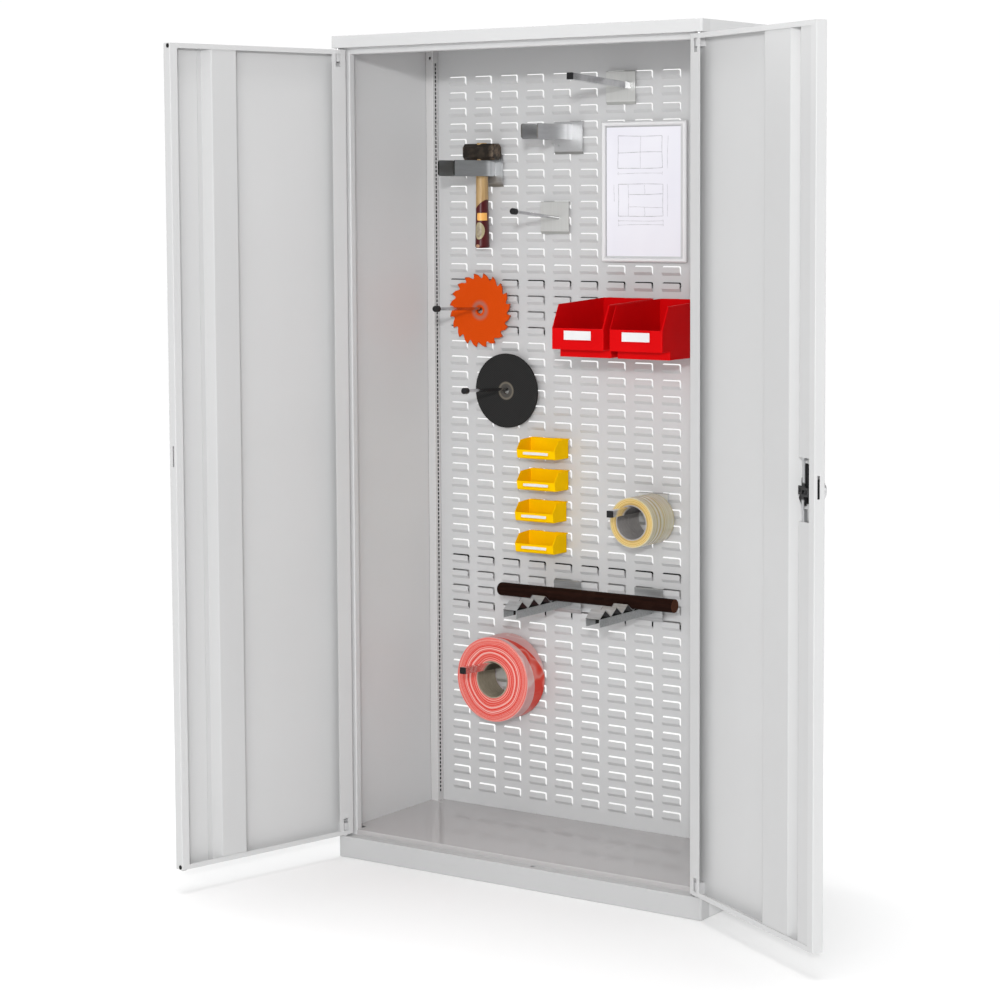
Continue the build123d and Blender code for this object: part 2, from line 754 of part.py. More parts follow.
def square_hook(name, left, row, root, tip):
    """Hook plate with a square tube."""
    back_plate = hook_plate(left, HOOK_PLATE, row)
    with BuildPart() as hook:
        add(back_plate)
        with BuildSketch(bar_plane(root, tip)):
            Rectangle(SQUARE_BAR_HOOK, SQUARE_BAR_HOOK)
        extrude(amount=bar_length(root, tip))
        with BuildSketch(bar_plane(tip, root)):
            Rectangle(SQUARE_BAR_HOOK - 3, SQUARE_BAR_HOOK - 3)
        extrude(amount=bar_length(root, tip) - 10, mode=Mode.SUBTRACT)
    save(hook, name)


def round_hook(name, left, row, root, tip):
    """Hook plate with a round bar."""
    back_plate = hook_plate(left, HOOK_PLATE, row)
    with BuildPart() as hook:
        add(back_plate)
        extrude(disc(bar_plane(root, tip), ROUND_BAR_HOOK), amount=bar_length(root, tip))
    save(hook, name)


def square_cap(root, tip):
    """Plastic plug with a flange that closes a square tube."""
    face = bar_plane(tip, root)
    with BuildPart() as cap:
        with BuildSketch(face):
            RectangleRounded(SQUARE_BAR_HOOK + 0.6, SQUARE_BAR_HOOK + 0.6, 1)
        extrude(amount=-4)
        with BuildSketch(face):
            Rectangle(SQUARE_BAR_HOOK - 3.6, SQUARE_BAR_HOOK - 3.6)
        extrude(amount=8)
    return cap.part


def round_cap(root, tip):
    """Plastic cap pushed over the end of a round bar."""
    away = (Vector(*tip) - Vector(*root)).normalized()
    seat = Vector(*tip) - away * 13
    face = Plane(seat, x_dir=(1, 0, 0), z_dir=away)
    with BuildPart() as cap:
        extrude(disc(face, ROUND_BAR_HOOK + 7), amount=16)
        fillet(cap.faces().sort_by(Axis(seat, away))[-1].edges(), 3)
        extrude(disc(face, ROUND_BAR_HOOK), amount=13, mode=Mode.SUBTRACT)
    return cap.part


def hook_caps(square_bars, round_bars):
    """End caps of all hook bars."""
    cap_parts = [square_cap(root, tip) for root, tip in square_bars]
    cap_parts += [round_cap(root, tip) for root, tip in round_bars]
    with BuildPart() as caps:
        add(cap_parts)
    save(caps, "hook_caps")


def fork_holder(name, left, row, prongs, prong_low, prong_height, tip_y):
    """Hook plate with two upright prongs that carry a tool between them."""
    back_plate = hook_plate(left, HOOK_PLATE, row)
    with BuildPart() as holder:
        add(back_plate)
        for prong in prongs:
            with BuildSketch(cross(prong)) as side_view:
                with BuildLine():
                    Polyline(
                        (HOOK_PLATE_FACE, prong_low),
                        (HOOK_PLATE_FACE, prong_low + prong_height),
                        (tip_y + 4, prong_low + prong_height),
                        (tip_y, prong_low + prong_height - 4),
                        (tip_y, prong_low + 6),
                        (tip_y + 6, prong_low),
                        close=True,
                    )
                make_face()
            extrude(amount=SHEET / 2, both=True)
        fixing = disc(upright(HOOK_PLATE_FACE), 4, (left + 12, prong_low - 14))
        extrude(fixing, amount=4, both=True, mode=Mode.SUBTRACT)
    save(holder, name)


def bar_holder(name, left, row, walls):
    """Hook plate with a channel whose top is folded into valleys for round bars."""
    low = BAR_VALLEY_Z - 18
    tip = BAR_VALLEY_Y - 3 * BAR_VALLEY_PITCH
    back_plate = hook_plate(left, HOOK_PLATE - 3, row)
    with BuildPart() as holder:
        add(back_plate)
        right_wall = cross(walls[1] - SHEET / 2)
        right_face = plate(right_wall, tip, HOOK_PLATE_FACE, low, BAR_VALLEY_Z + SHEET / 2)
        extrude(right_face, amount=SHEET / 2, both=True)
        top_skin = [(tip, BAR_VALLEY_Z)]
        for fold in range(4):
            peak_y = tip + BAR_VALLEY_PITCH * (fold + 0.5)
            top_skin.append((peak_y, BAR_VALLEY_Z + BAR_RIDGE))
            top_skin.append((peak_y + BAR_VALLEY_PITCH / 2, BAR_VALLEY_Z))
        top_skin.append((HOOK_PLATE_FACE, BAR_VALLEY_Z))
        left_points = [(tip, low), *top_skin, (HOOK_PLATE_FACE, low)]
        left_face = outline(cross(walls[0] + SHEET / 2), left_points)
        extrude(left_face, amount=SHEET / 2, both=True)
        middle = (walls[0] + walls[1]) / 2
        section = strip(cross(middle), top_skin, bend=1, side=Side.LEFT)
        extrude(section, amount=(walls[1] - walls[0]) / 2, both=True)
    save(holder, name)


def notice_frame():
    """Aluminium display frame with its backing board."""
    left, right = NOTICE_X
    low, high = NOTICE_Z
    border = 10.5
    with BuildPart() as frame:
        extrude(plate(upright(NOTICE_BACK), left, right, low, high), amount=9)
        fillet(frame.edges().filter_by(Axis.Y), 4)
        window = plate(
            upright(NOTICE_BACK - 2.5), left + border, right - border, low + border, high - border
        )
        extrude(window, amount=10, mode=Mode.SUBTRACT)
        chamfer(frame.edges().group_by(Axis.Y)[0], 3.2)
    save(frame, "notice_frame")


def notice_sheet():
    """Paper sheet lying on the frame's backing board."""
    left = NOTICE_X[0] + 11
    high = NOTICE_Z[1] - 11
    width, height = NOTICE_PAPER
    with BuildPart() as paper:
        sheet = plate(upright(NOTICE_BACK - 2.5), left, left + width, high - height, high)
        extrude(sheet, amount=0.4)
    save(paper, "notice_sheet")


def storage_bin(name, left, width, wall, outer, inner, claw_columns):
    """Open-fronted bin: outer and inner side profiles, and claws that hang behind the tongues."""
    middle = left + width / 2
    top = outer[0][1]
    with BuildPart() as storage:
        extrude(outline(cross(middle), outer), amount=width / 2, both=True)
        fillet(storage.edges().filter_by(Axis.X, reverse=True), wall - 0.4)
        hollow = outline(cross(middle), inner)
        extrude(hollow, amount=width / 2 - wall, both=True, mode=Mode.SUBTRACT)
        claw_back = WALL_FACE - 1.6
        claw_front = claw_back - 2.4
        claw = [
            (BIN_REAR - wall, top),
            (claw_back, top),
            (claw_back, top - CLAW_DEPTH),
            (claw_front, top - CLAW_DEPTH),
            (claw_front, top - 2.4),
            (BIN_REAR - wall, top - 2.4),
        ]
        for column in claw_columns:
            centre = LOUVRE_FIRST_X + LOUVRE_PITCH_X * column
            claw_left = max(left + wall, centre - 20)
            claw_right = min(left + width - wall, centre + 20)
            claw_face = outline(cross((claw_left + claw_right) / 2), claw)
            extrude(claw_face, amount=(claw_right - claw_left) / 2, both=True)
    save(storage, name)


def red_bin(name, left, claw_columns):
    """Large bin with a stepped foot."""
    top = row_top(RED_BIN_ROW) + CLEARANCE + 2.4
    low = 1205
    lip = 1273
    front = -45
    foot = front + 34
    step = low + 19
    wall = 3
    outer = [
        (BIN_REAR, top),
        (front + 27, top - 8),
        (front, lip),
        (front, step),
        (foot, step),
        (foot, low),
        (BIN_REAR, low),
    ]
    inner = [
        (BIN_REAR - wall, top + 5),
        (front - 10, top + 5),
        (front - 10, lip),
        (front + wall, lip),
        (front + wall, step + wall),
        (foot + wall, step + wall),
        (foot + wall, low + wall),
        (BIN_REAR - wall, low + wall),
    ]
    storage_bin(name, left, RED_BIN_WIDTH, wall, outer, inner, claw_columns)


def yellow_bin(name, left, row, claw_columns):
    """Small shallow bin."""
    top = row_top(row) + CLEARANCE + 2.4
    low = top - 47
    lip = top - 25
    front = 115
    wall = 1.8
    outer = [
        (BIN_REAR, top),
        (front + 17, top - 3),
        (front, lip),
        (front + 3, low + 3),
        (front + 7, low),
        (BIN_REAR, low),
    ]
    inner = [
        (BIN_REAR - wall, top + 5),
        (front - 10, top + 5),
        (front - 10, lip),
        (front + wall, lip),
        (front + 5, low + 3 + wall),
        (front + 8, low + wall),
        (BIN_REAR - wall, low + wall),
    ]
    storage_bin(name, left, YELLOW_BIN_WIDTH, wall, outer, inner, claw_columns)


# ---------------------------------------------------------------- tools on the wall


def hammer():
    """Club hammer: octagonal head with an eye, and an oval wooden handle through it."""
    x, y = HAMMER_X, HAMMER_Y
    low = HAMMER_PRONG_LOW + PRONG_HEIGHT + CLEARANCE
    with BuildPart() as head:
        with BuildSketch(cross(x)) as octagon:
            with Locations((y, low + 20)):
                Rectangle(40, 40)
            chamfer(octagon.vertices(), 8)
        extrude(amount=45, both=True)
        chamfer(head.faces().sort_by(Axis.X)[-1].edges(), 3)
        chamfer(head.faces().sort_by(Axis.X)[0].edges(), 3)
        eye = level(low)
        with BuildSketch(eye):
            with Locations((x, y)):
                Ellipse(*HAMMER_EYE)
        extrude(amount=45, mode=Mode.SUBTRACT)
    save(head, "hammer_head")
    sections = ((0, *HAMMER_EYE), (26, 13.5, 17), (120, 14, 18), (212, 16, 20.5))
    with BuildPart() as handle:
        with BuildSketch(eye):
            with Locations((x, y)):
                Ellipse(*HAMMER_EYE)
        extrude(amount=42)
        for upper, lower in pairwise(sections):
            for drop, half_width, half_depth in (upper, lower):
                with BuildSketch(level(low - drop)):
                    with Locations((x, y)):
                        Ellipse(half_width, half_depth)
            loft()
        fillet(handle.edges().sort_by(Axis.Z)[0], 5)
    save(handle, "hammer_handle")


def saw_blade():
    """Circular saw blade with hooked teeth."""
    x, z = BLADE_X, BLADE_HOOK_Z + (ROUND_BAR_HOOK - BLADE_BORE) / 2 + HANGING_GAP
    radius = BLADE_DIAMETER / 2
    tooth_step = 2 * pi / BLADE_TEETH
    tooth_shape = (
        (0, 0),
        (0.14, 0.9),
        (0.42, 4.6),
        (0.62, 9),
        (0.74, 11.6),
        (0.85, 12.4),
        (0.94, 11),
        (0.98, 7.5),
    )
    with BuildPart() as blade:
        with BuildSketch(upright(BLADE_Y)):
            with BuildLine():
                points = []
                for tooth in range(BLADE_TEETH):
                    for share, depth in tooth_shape:
                        angle = -(tooth + share + 0.36) * tooth_step
                        reach = radius - depth
                        points.append((x + reach * cos(angle), z + reach * sin(angle)))
                Polyline(*points, close=True)
            make_face()
            with Locations((x, z)):
                Circle(BLADE_BORE / 2, mode=Mode.SUBTRACT)
        extrude(amount=2.4)
    save(blade, "saw_blade")


def grinding_disc():
    """Thin grinding disc with its bore."""
    centre = (DISC_X, DISC_HOOK_Z + (ROUND_BAR_HOOK - DISC_BORE) / 2 + HANGING_GAP)
    with BuildPart() as grinder:
        extrude(disc(upright(DISC_Y), DISC_DIAMETER, centre, DISC_BORE), amount=6)
        fillet(grinder.edges().filter_by(GeomType.CIRCLE).group_by(SortBy.RADIUS)[-1], 1.5)
    save(grinder, "grinding_disc")


def tape_rolls(names, centre, diameters, starts, width):
    """Wound tape and its core, one roll in front of each starting depth."""
    outer, core, bore = diameters
    roll_name, core_name = names
    with BuildPart() as roll:
        for start in starts:
            extrude(disc(upright(start), outer, centre, core), amount=width)
        fillet(roll.edges().filter_by(GeomType.CIRCLE).group_by(SortBy.RADIUS)[-1], 1.2)
    save(roll, roll_name)
    with BuildPart() as tube:
        for start in starts:
            extrude(disc(upright(start), core, centre, bore), amount=width)
    save(tube, core_name)


def round_bar():
    """Round wooden bar lying across the two bar holders."""
    left, right = BAR_X
    slope = atan2(BAR_RIDGE, BAR_VALLEY_PITCH / 2)
    height = BAR_VALLEY_Z + (BAR_DIAMETER / 2 + SHEET + CLEARANCE) / cos(slope)
    with BuildPart() as bar:
        extrude(disc(cross(left), BAR_DIAMETER, (BAR_VALLEY_Y, height)), amount=right - left)
        fillet(bar.edges().filter_by(GeomType.CIRCLE).sort_by(Axis.X)[0], 9)
        fillet(bar.edges().filter_by(GeomType.CIRCLE).sort_by(Axis.X)[-1], 1.5)
    save(bar, "round_bar")


# ---------------------------------------------------------------- the whole cabinet

for side, word in ((LEFT, "left"), (RIGHT, "right")):
    side_panel(side, f"{word}_side_panel")
    front_post(side, f"{word}_front_post")
    rear_post(side, f"{word}_rear_post")
    door_bushes(side, f"{word}_door_bushes")
top_cover()
plinth()
header_rail()
floor_panel()
levelling_feet()
first_row = 0
for word, rows in zip(("upper", "middle", "lower"), PANEL_ROWS):
    louvred_panel(f"{word}_louvred_panel", first_row, rows)
    first_row += rows
back_rail("upper_back_rail", 1234)
back_rail("lower_back_rail", 550)
back_panel_screws()
hinge_pins()

left_door_panel()
right_door_panel()
hat = DOOR_DEPTH - 3
left_hat = [(302, DOOR_SHEET), (314, DOOR_SHEET), (315, hat), (383, hat), (397, DOOR_SHEET), (409, DOOR_SHEET)]
right_hat = [(287, DOOR_SHEET), (299, DOOR_SHEET), (300, hat), (399, hat), (414, DOOR_SHEET), (426, DOOR_SHEET)]
door_stiffener(LEFT, "left_door_stiffener", left_hat)
door_stiffener(RIGHT, "right_door_stiffener", right_hat)
door_buffers()
lock_channel()
lock_case()
turn_handle()
lock_cylinder()
lock_cam()
lock_rod("upper_lock_rod", 1, 20, 62, DOOR_HIGH - 0.8)
lock_rod("lower_lock_rod", -1, 22, 36, DOOR_LOW + 0.8)

long_bar = ((77, 175, 1831), (77, -70, 1845))
packing_bar = ((146, 175, 847.4), (146, -14, 847.4))
barrier_bar = ((-265, 175, 432), (-265, -22, 443.4))
plain_bar = ((-118, 175, 1522), (-118, -19, 1540))
blade_bar = ((BLADE_X, 175, BLADE_HOOK_Z), (BLADE_X, -21, BLADE_HOOK_Z + 8))
disc_bar = ((DISC_X, 175, DISC_HOOK_Z), (DISC_X, -12, DISC_HOOK_Z + 8))
square_hook("long_square_hook", 18, 0, *long_bar)
square_hook("upper_tape_hook", 106, 26, *packing_bar)
square_hook("lower_tape_hook", -305, 37, *barrier_bar)
round_hook("round_hook", -168, 8, *plain_bar)
round_hook("blade_hook", -381, 14, *blade_bar)
round_hook("disc_hook", -305, 19, *disc_bar)
hook_caps((long_bar, packing_bar, barrier_bar), (plain_bar, blade_bar, disc_bar))
fork_holder("wide_holder", -128, 3, (-124, -79), 1708, 36, 27)
fork_holder("hammer_holder", -358, 5, (-347, -301), HAMMER_PRONG_LOW, PRONG_HEIGHT, 3)
bar_holder("left_bar_holder", -134, 32, (-122, -85))
bar_holder("right_bar_holder", 95, 32, (107, 145))
notice_frame()
notice_sheet()

red_bin("red_bin_left", 7, (6, 7))
red_bin("red_bin_right", 163, (8, 9))
for number, (left, row) in enumerate(((-202, 23), (-202, 25), (-208, 27), (-208, 29)), start=1):
    yellow_bin(f"yellow_bin_{number}", left, row, (3, 4))
hammer()
saw_blade()
grinding_disc()
roll_width = 48
tape_rolls(
    ("packing_tape_roll", "packing_tape_core"),
    PACKING_CENTRE,
    PACKING_TAPE,
    (TAPE_BACK, TAPE_BACK - roll_width - 1),
    roll_width,
)
tape_rolls(("barrier_tape_roll", "barrier_tape_core"), BARRIER_CENTRE, BARRIER_TAPE, (TAPE_BACK,), 75)
round_bar()
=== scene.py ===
"""Tool cabinet with doors: finish, light and camera round the CAD frame. Lengths are metres."""

import math
import random

import bmesh
import bpy
from mathutils import Matrix, Vector


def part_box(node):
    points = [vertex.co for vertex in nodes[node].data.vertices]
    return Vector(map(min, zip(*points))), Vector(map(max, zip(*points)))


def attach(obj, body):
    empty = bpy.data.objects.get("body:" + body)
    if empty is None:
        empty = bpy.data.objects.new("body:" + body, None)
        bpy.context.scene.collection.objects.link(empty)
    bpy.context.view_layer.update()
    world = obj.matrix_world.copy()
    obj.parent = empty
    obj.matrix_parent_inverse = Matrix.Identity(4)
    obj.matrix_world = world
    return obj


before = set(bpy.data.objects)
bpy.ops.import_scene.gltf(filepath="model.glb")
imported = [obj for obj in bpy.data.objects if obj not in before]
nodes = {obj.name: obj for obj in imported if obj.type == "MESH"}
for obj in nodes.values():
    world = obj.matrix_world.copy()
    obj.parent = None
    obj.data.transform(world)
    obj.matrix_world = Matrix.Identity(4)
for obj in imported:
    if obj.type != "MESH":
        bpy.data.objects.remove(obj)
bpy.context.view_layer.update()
scene = bpy.context.scene


def middle(node):
    """Middle of a node's box."""
    low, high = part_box(node)
    return tuple((start + end) / 2 for start, end in zip(low, high))


def scaled(colour, share):
    """A colour made darker or lighter by a share."""
    return tuple(channel * share for channel in colour)


# ------------------------------------------------------------------ materials

# Sockets of the Mix node when it mixes colours.
MIX_INPUTS = (0, 6, 7)
MIX_RESULT = 2


class Shade:
    """A node material made step by step. Surfaces use object coordinates, which are metres."""

    def __init__(self, name):
        self.material = bpy.data.materials.new(name)
        self.material.use_nodes = True
        self.tree = self.material.node_tree
        self.shader = self.tree.nodes["Principled BSDF"]
        self.place = self.node("ShaderNodeTexCoord").outputs["Object"]

    def node(self, kind, **values):
        made = self.tree.nodes.new(kind)
        for key, value in values.items():
            setattr(made, key, value)
        return made

    def link(self, source, target):
        self.tree.links.new(source, target)

    def feed(self, sockets, values):
        """Gives each socket a number, a colour or a link from another node."""
        for socket, value in zip(sockets, values):
            if isinstance(value, (int, float)):
                socket.default_value = value
            elif isinstance(value, tuple):
                socket.default_value = (*value, 1)
            else:
                self.link(value, socket)

    def set(self, **values):
        """Sets inputs of the surface that are the same all over."""
        for key, value in values.items():
            self.shader.inputs[key.replace("_", " ")].default_value = value

    def stretch(self, scale):
        """Coordinates scaled along each axis: a small scale draws a noise out along its axis."""
        mapping = self.node("ShaderNodeMapping")
        mapping.inputs["Scale"].default_value = scale
        self.link(self.place, mapping.inputs["Vector"])
        return mapping.outputs["Vector"]

    def noise(self, scale, detail=3, rough=0.5, vector=None):
        made = self.node("ShaderNodeTexNoise")
        made.inputs["Scale"].default_value = scale
        made.inputs["Detail"].default_value = detail
        made.inputs["Roughness"].default_value = rough
        self.link(vector or self.place, made.inputs["Vector"])
        return made.outputs["Fac"]

    def bands(self, value, scale, detail):
        """A noise that changes along one value only."""
        made = self.node("ShaderNodeTexNoise", noise_dimensions="1D")
        made.inputs["Scale"].default_value = scale
        made.inputs["Detail"].default_value = detail
        self.link(value, made.inputs["W"])
        return made.outputs["Fac"]

    def ramp(self, value, *stops):
        """Tones over a value. A stop is its position and a grey or a colour."""
        made = self.node("ShaderNodeValToRGB")
        elements = made.color_ramp.elements
        while len(elements) < len(stops):
            elements.new(0.5)
        for element, (position, tone) in zip(elements, stops):
            element.position = position
            element.color = (*tone, 1) if isinstance(tone, tuple) else (tone, tone, tone, 1)
        self.link(value, made.inputs["Fac"])
        return made.outputs["Color"]

    def blend(self, value, first, second, low=0.3, high=0.7):
        """The first tone up to low, the second from high on, and a blend between them."""
        return self.ramp(value, (low, first), (high, second))

    def mix(self, factor, first, second):
        """The first tone where the factor is 0 and the second where it is 1."""
        made = self.node("ShaderNodeMix", data_type="RGBA")
        self.feed([made.inputs[index] for index in MIX_INPUTS], (factor, first, second))
        return made.outputs[MIX_RESULT]

    def math(self, operation, *values, clamp=False):
        made = self.node("ShaderNodeMath", operation=operation, use_clamp=clamp)
        self.feed(made.inputs, values)
        return made.outputs["Value"]

    def absolute(self, value):
        return self.math("ABSOLUTE", value)

    def times(self, first, second):
        return self.math("MULTIPLY", first, second)

    def plus(self, first, second):
        return self.math("ADD", first, second)

    def minus(self, first, second):
        return self.math("SUBTRACT", first, second)

    def either(self, first, second):
        """1 where one of two masks is 1."""
        return self.math("ADD", first, second, clamp=True)

    def above(self, value, limit):
        return self.math("GREATER_THAN", value, limit)

    def below(self, value, limit):
        return self.math("LESS_THAN", value, limit)

    def near(self, value, centre, reach):
        """1 where a value is at most the reach away from a centre."""
        return self.math("COMPARE", value, centre, reach)

    def distance(self, first, second):
        """Length of a vector given by two values at a right angle."""
        return self.math("SQRT", self.plus(*(self.math("POWER", side, 2) for side in (first, second))))

    def split(self, source=None):
        """The x, y and z of the object coordinates, or of another vector."""
        made = self.node("ShaderNodeSeparateXYZ")
        self.link(source or self.place, made.inputs["Vector"])
        return made.outputs

    def facing(self):
        """The x, y and z of the direction that the surface faces."""
        return self.split(self.node("ShaderNodeTexCoord").outputs["Normal"])

    def bump(self, height, strength, distance=0.001):
        """Adds a bump on top of those made before."""
        made = self.node("ShaderNodeBump")
        made.inputs["Strength"].default_value = strength
        made.inputs["Distance"].default_value = distance
        self.link(height, made.inputs["Height"])
        previous = self.shader.inputs["Normal"].links
        if previous:
            self.link(previous[0].from_socket, made.inputs["Normal"])
        self.link(made.outputs["Normal"], self.shader.inputs["Normal"])

    def colour(self, source):
        self.link(source, self.shader.inputs["Base Color"])

    def metal(self, source):
        self.link(source, self.shader.inputs["Metallic"])

    def rough(self, low, high, value):
        """Roughness from low to high while a value goes from 0 to 1."""
        made = self.node("ShaderNodeMapRange")
        made.inputs["To Min"].default_value = low
        made.inputs["To Max"].default_value = high
        self.link(value, made.inputs["Value"])
        self.link(made.outputs["Result"], self.shader.inputs["Roughness"])


SCUFF_FADE = 9  # per metre of height, so that scuffs end at a ninth of a metre

# Zones of finish and of painted light and shade on the CAD parts, measured inwards from the faces of
# their boxes.
PERFORATED_SIDE = 0.0018
POST_FRONT = 0.0012
SIDE_SKIN = 0.0012
# The covered strip below is painted near black as shade.
COVERED_MIDDLE, COVERED_HALF = 0.0097, 0.0082  # of the covered strip, from the post's front
RAIL_FACE = 0.00065
HOOK_PLATE = 0.0099
# HOOK_LIP and HOOK_BROW: bands painted darker as shade along the hook plates' lower lip and top edge.
HOOK_LIP = 0.0065
HOOK_BROW = 0.0016
# PRONG_TIP: band of painted dark reflection on the prongs' ends; PRONG_FOOT: band of painted shade along
# their foot.
PRONG_TIP = 0.0035
PRONG_FOOT = 0.006
# FOLD and WEB values place the near-black painted shade on the saw tooth holders.
FOLD_MIDDLE, FOLD_HALF = 0.0445, 0.013  # height of the saw teeth's folds
WEB_MIDDLE, WEB_HALF = 0.0375, 0.021  # height of the webs below them
WEB_INSET, WEB_REACH = 0.0135, 0.0004  # place of a web across its holder
WEB_START = 0.0404  # from the holder's front

# Along the lock rods, from the height of the lock.
ROD_BLACK_END, ROD_STEEL_START = 0.0165, 0.0175

# Distance before the wall and brightness of the painted highlight along the prongs' bend.
PRONG_GLINT = ((0.0486, 0.0), (0.0336, 1.0), (0.0276, 0.2), (0.0186, 0.9))


def powder_coat(name, colour, rough, gloss=0.3, scuffs=0.0, dark=None, peel=0.06):
    """Satin powder coat: orange peel, faint clouding, scuffs that gather near the floor, and near-black
    painted shade where a dark mask is given.
    """
    shade = Shade(name)
    base = shade.blend(shade.noise(2.3, 4), scaled(colour, 0.965), colour)
    if scuffs:
        streaks = shade.noise(9, 6, 0.7, shade.stretch((1, 1, 6)))
        height = shade.times(shade.split()["Z"], SCUFF_FADE)
        low_down = shade.math("SUBTRACT", 1, height, clamp=True)
        spots = shade.blend(streaks, 0.0, 1.0, 0.58, 0.72)
        mask = shade.times(shade.times(spots, low_down), scuffs)
        base = shade.mix(mask, base, scaled(colour, 0.75))
    # Painted shade: near black wherever the dark mask is 1.
    if dark:
        base = shade.mix(dark(shade), base, (0.012, 0.012, 0.012))
    shade.colour(base)
    shade.rough(rough - 0.04, rough + 0.06, shade.noise(30, 3))
    shade.bump(shade.noise(520, 2), peel, 0.0004)
    shade.set(Specular_IOR_Level=gloss)
    return shade.material


def shade_behind_perforations(shade):
    """Painted shade on the rear posts beyond their perforated side, so that they look dark through the
    square holes.
    """
    low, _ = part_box("right_rear_post")
    x, y, _ = shade.split()
    beyond = shade.above(shade.absolute(x), low[0] + PERFORATED_SIDE)
    return shade.times(beyond, shade.above(y, low[1] + POST_FRONT))


def shade_behind_posts(shade):
    """Strip of the side panels that the rear posts cover, painted dark as shade."""
    post_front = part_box("right_rear_post")[0][1]
    outer_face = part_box("right_side_panel")[1][0]
    x, y, _ = shade.split()
    inside = shade.below(shade.absolute(x), outer_face - SIDE_SKIN)
    return shade.times(inside, shade.near(y, post_front + COVERED_MIDDLE, COVERED_HALF))


def shade_against_wall(shade):
    """Front of the rails against the louvred wall, painted dark as shade."""
    rail_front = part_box("upper_back_rail")[0][1]
    return shade.below(shade.split()["Y"], rail_front + RAIL_FACE)


def bare_metal(name, colour, rough, grain=(1, 1, 1), depth=0.06, metallic=1.0):
    """Bare or plated metal with dull patches, and lines drawn out along the small axis of the grain."""
    shade = Shade(name)
    shade.set(Metallic=metallic)
    shade.colour(shade.blend(shade.noise(24, 4, 0.5), scaled(colour, 0.9), colour))
    lines = shade.noise(300, 3, 0.6, shade.stretch(grain))
    shade.rough(rough * 0.8, rough * 1.25, shade.times(lines, 1.2))
    shade.bump(lines, depth, 0.0002)
    return shade.material


def hook_finish(node):
    """Satin plated hook plate with a turned-in lower lip, painted darker as shade there and along its
    top edge, and a bright drawn bar in front of it.
    """
    shade = Shade(f"{node}_chrome")
    low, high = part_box(node)
    _, y, z = shade.split()
    plate = shade.above(y, high[1] - HOOK_PLATE)
    lines = shade.noise(260, 3, 0.6, shade.stretch((1, 1, 0.03)))
    satin = shade.blend(lines, (0.6, 0.605, 0.59), (0.64, 0.645, 0.63))
    # Painted shade: darker bands along the plate's lower lip and top edge.
    lip = shade.near(z, low[2], HOOK_LIP)
    brow = shade.near(z, high[2], HOOK_BROW)
    satin = shade.mix(shade.either(lip, brow), satin, (0.4, 0.405, 0.39))
    bright = shade.blend(shade.noise(30, 3), (0.42, 0.42, 0.43), (0.6, 0.6, 0.61))
    shade.colour(shade.mix(plate, bright, satin))
    shade.metal(shade.minus(1.0, shade.times(plate, 0.5)))
    shade.rough(0.1, 0.4, plate)
    shade.bump(shade.noise(60, 3), 0.1, 0.0006)
    return shade.material


def prong_steel(node, lip, side, bend_highlight):
    """Bent sheet prongs with satin sides, a painted dark reflection on the upturned ends, a painted
    highlight along the bend at the wall, and painted shade along the foot.
    """
    shade = Shade(f"{node}_steel")
    (_, tip, foot), (_, wall, _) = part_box(node)
    _, y, z = shade.split()
    streaks = shade.noise(130, 4, 0.6, shade.stretch((1, 0.15, 1)))
    satin = shade.mix(streaks, scaled(side, 0.8), scaled(side, 1.15))
    # Painted highlight along the bend at the wall.
    bend = shade.ramp(y, *((wall - before, tone) for before, tone in PRONG_GLINT))
    satin = shade.mix(shade.times(bend, bend_highlight), satin, (0.75, 0.75, 0.76))
    # Painted dark reflection on the upturned ends.
    layered = shade.noise(160, 3, 0.6, shade.stretch((0.1, 0.1, 1)))
    front = shade.mix(layered, scaled(lip, 0.6), scaled(lip, 1.4))
    # Painted shade along the foot.
    satin = shade.mix(shade.near(z, foot, PRONG_FOOT), satin, (0.3, 0.3, 0.29))
    shade.colour(shade.mix(shade.below(y, tip + PRONG_TIP), satin, front))
    shade.rough(0.3, 0.46, streaks)
    shade.set(Metallic=0.8)
    shade.bump(streaks, 0.05, 0.0002)
    return shade.material


def saw_tooth_steel():
    """Plated sheet with near-black painted shade under its folded ridges and on the webs below them."""
    shade = Shade("saw_tooth_steel")
    left, front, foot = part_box("left_bar_holder")[0]
    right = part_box("right_bar_holder")[0][0]
    x, y, z = shade.split()
    lines = shade.noise(240, 3, 0.6, shade.stretch((0.05, 1, 1)))
    steel = shade.blend(lines, (0.36, 0.37, 0.375), (0.52, 0.53, 0.535))
    # Painted shade: near black on faces that look down inside the folds, and on the webs below them.
    looks_down = shade.below(shade.facing()["Z"], -0.3)
    under = shade.times(looks_down, shade.near(z, foot + FOLD_MIDDLE, FOLD_HALF))
    webs = shade.either(*(shade.near(x, edge + WEB_INSET, WEB_REACH) for edge in (left, right)))
    webs = shade.times(webs, shade.near(z, foot + WEB_MIDDLE, WEB_HALF))
    webs = shade.times(webs, shade.above(y, front + WEB_START))
    inside = shade.either(under, webs)
    shade.colour(shade.mix(inside, steel, (0.006, 0.006, 0.006)))
    shade.metal(shade.times(shade.minus(1.0, inside), 0.8))
    shade.rough(0.32, 0.48, lines)
    shade.set(Specular_IOR_Level=0.08)
    shade.bump(lines, 0.05, 0.0002)
    return shade.material


def lock_rod_steel():
    """Plated rod whose end plate by the cam is blackened."""
    shade = Shade("lock_rod_steel")
    _, _, cam = middle("lock_cylinder")
    height = shade.absolute(shade.minus(shade.split()["Z"], cam))
    end = shade.blend(height, 1.0, 0.0, ROD_BLACK_END, ROD_STEEL_START)
    lines = shade.noise(300, 3, 0.6, shade.stretch((1, 1, 0.05)))
    steel = shade.blend(lines, (0.56, 0.57, 0.58), (0.68, 0.69, 0.7))
    shade.colour(shade.mix(end, steel, (0.012, 0.012, 0.013)))
    shade.metal(shade.minus(0.8, shade.times(end, 0.8)))
    shade.rough(0.3, 0.42, lines)
    return shade.material


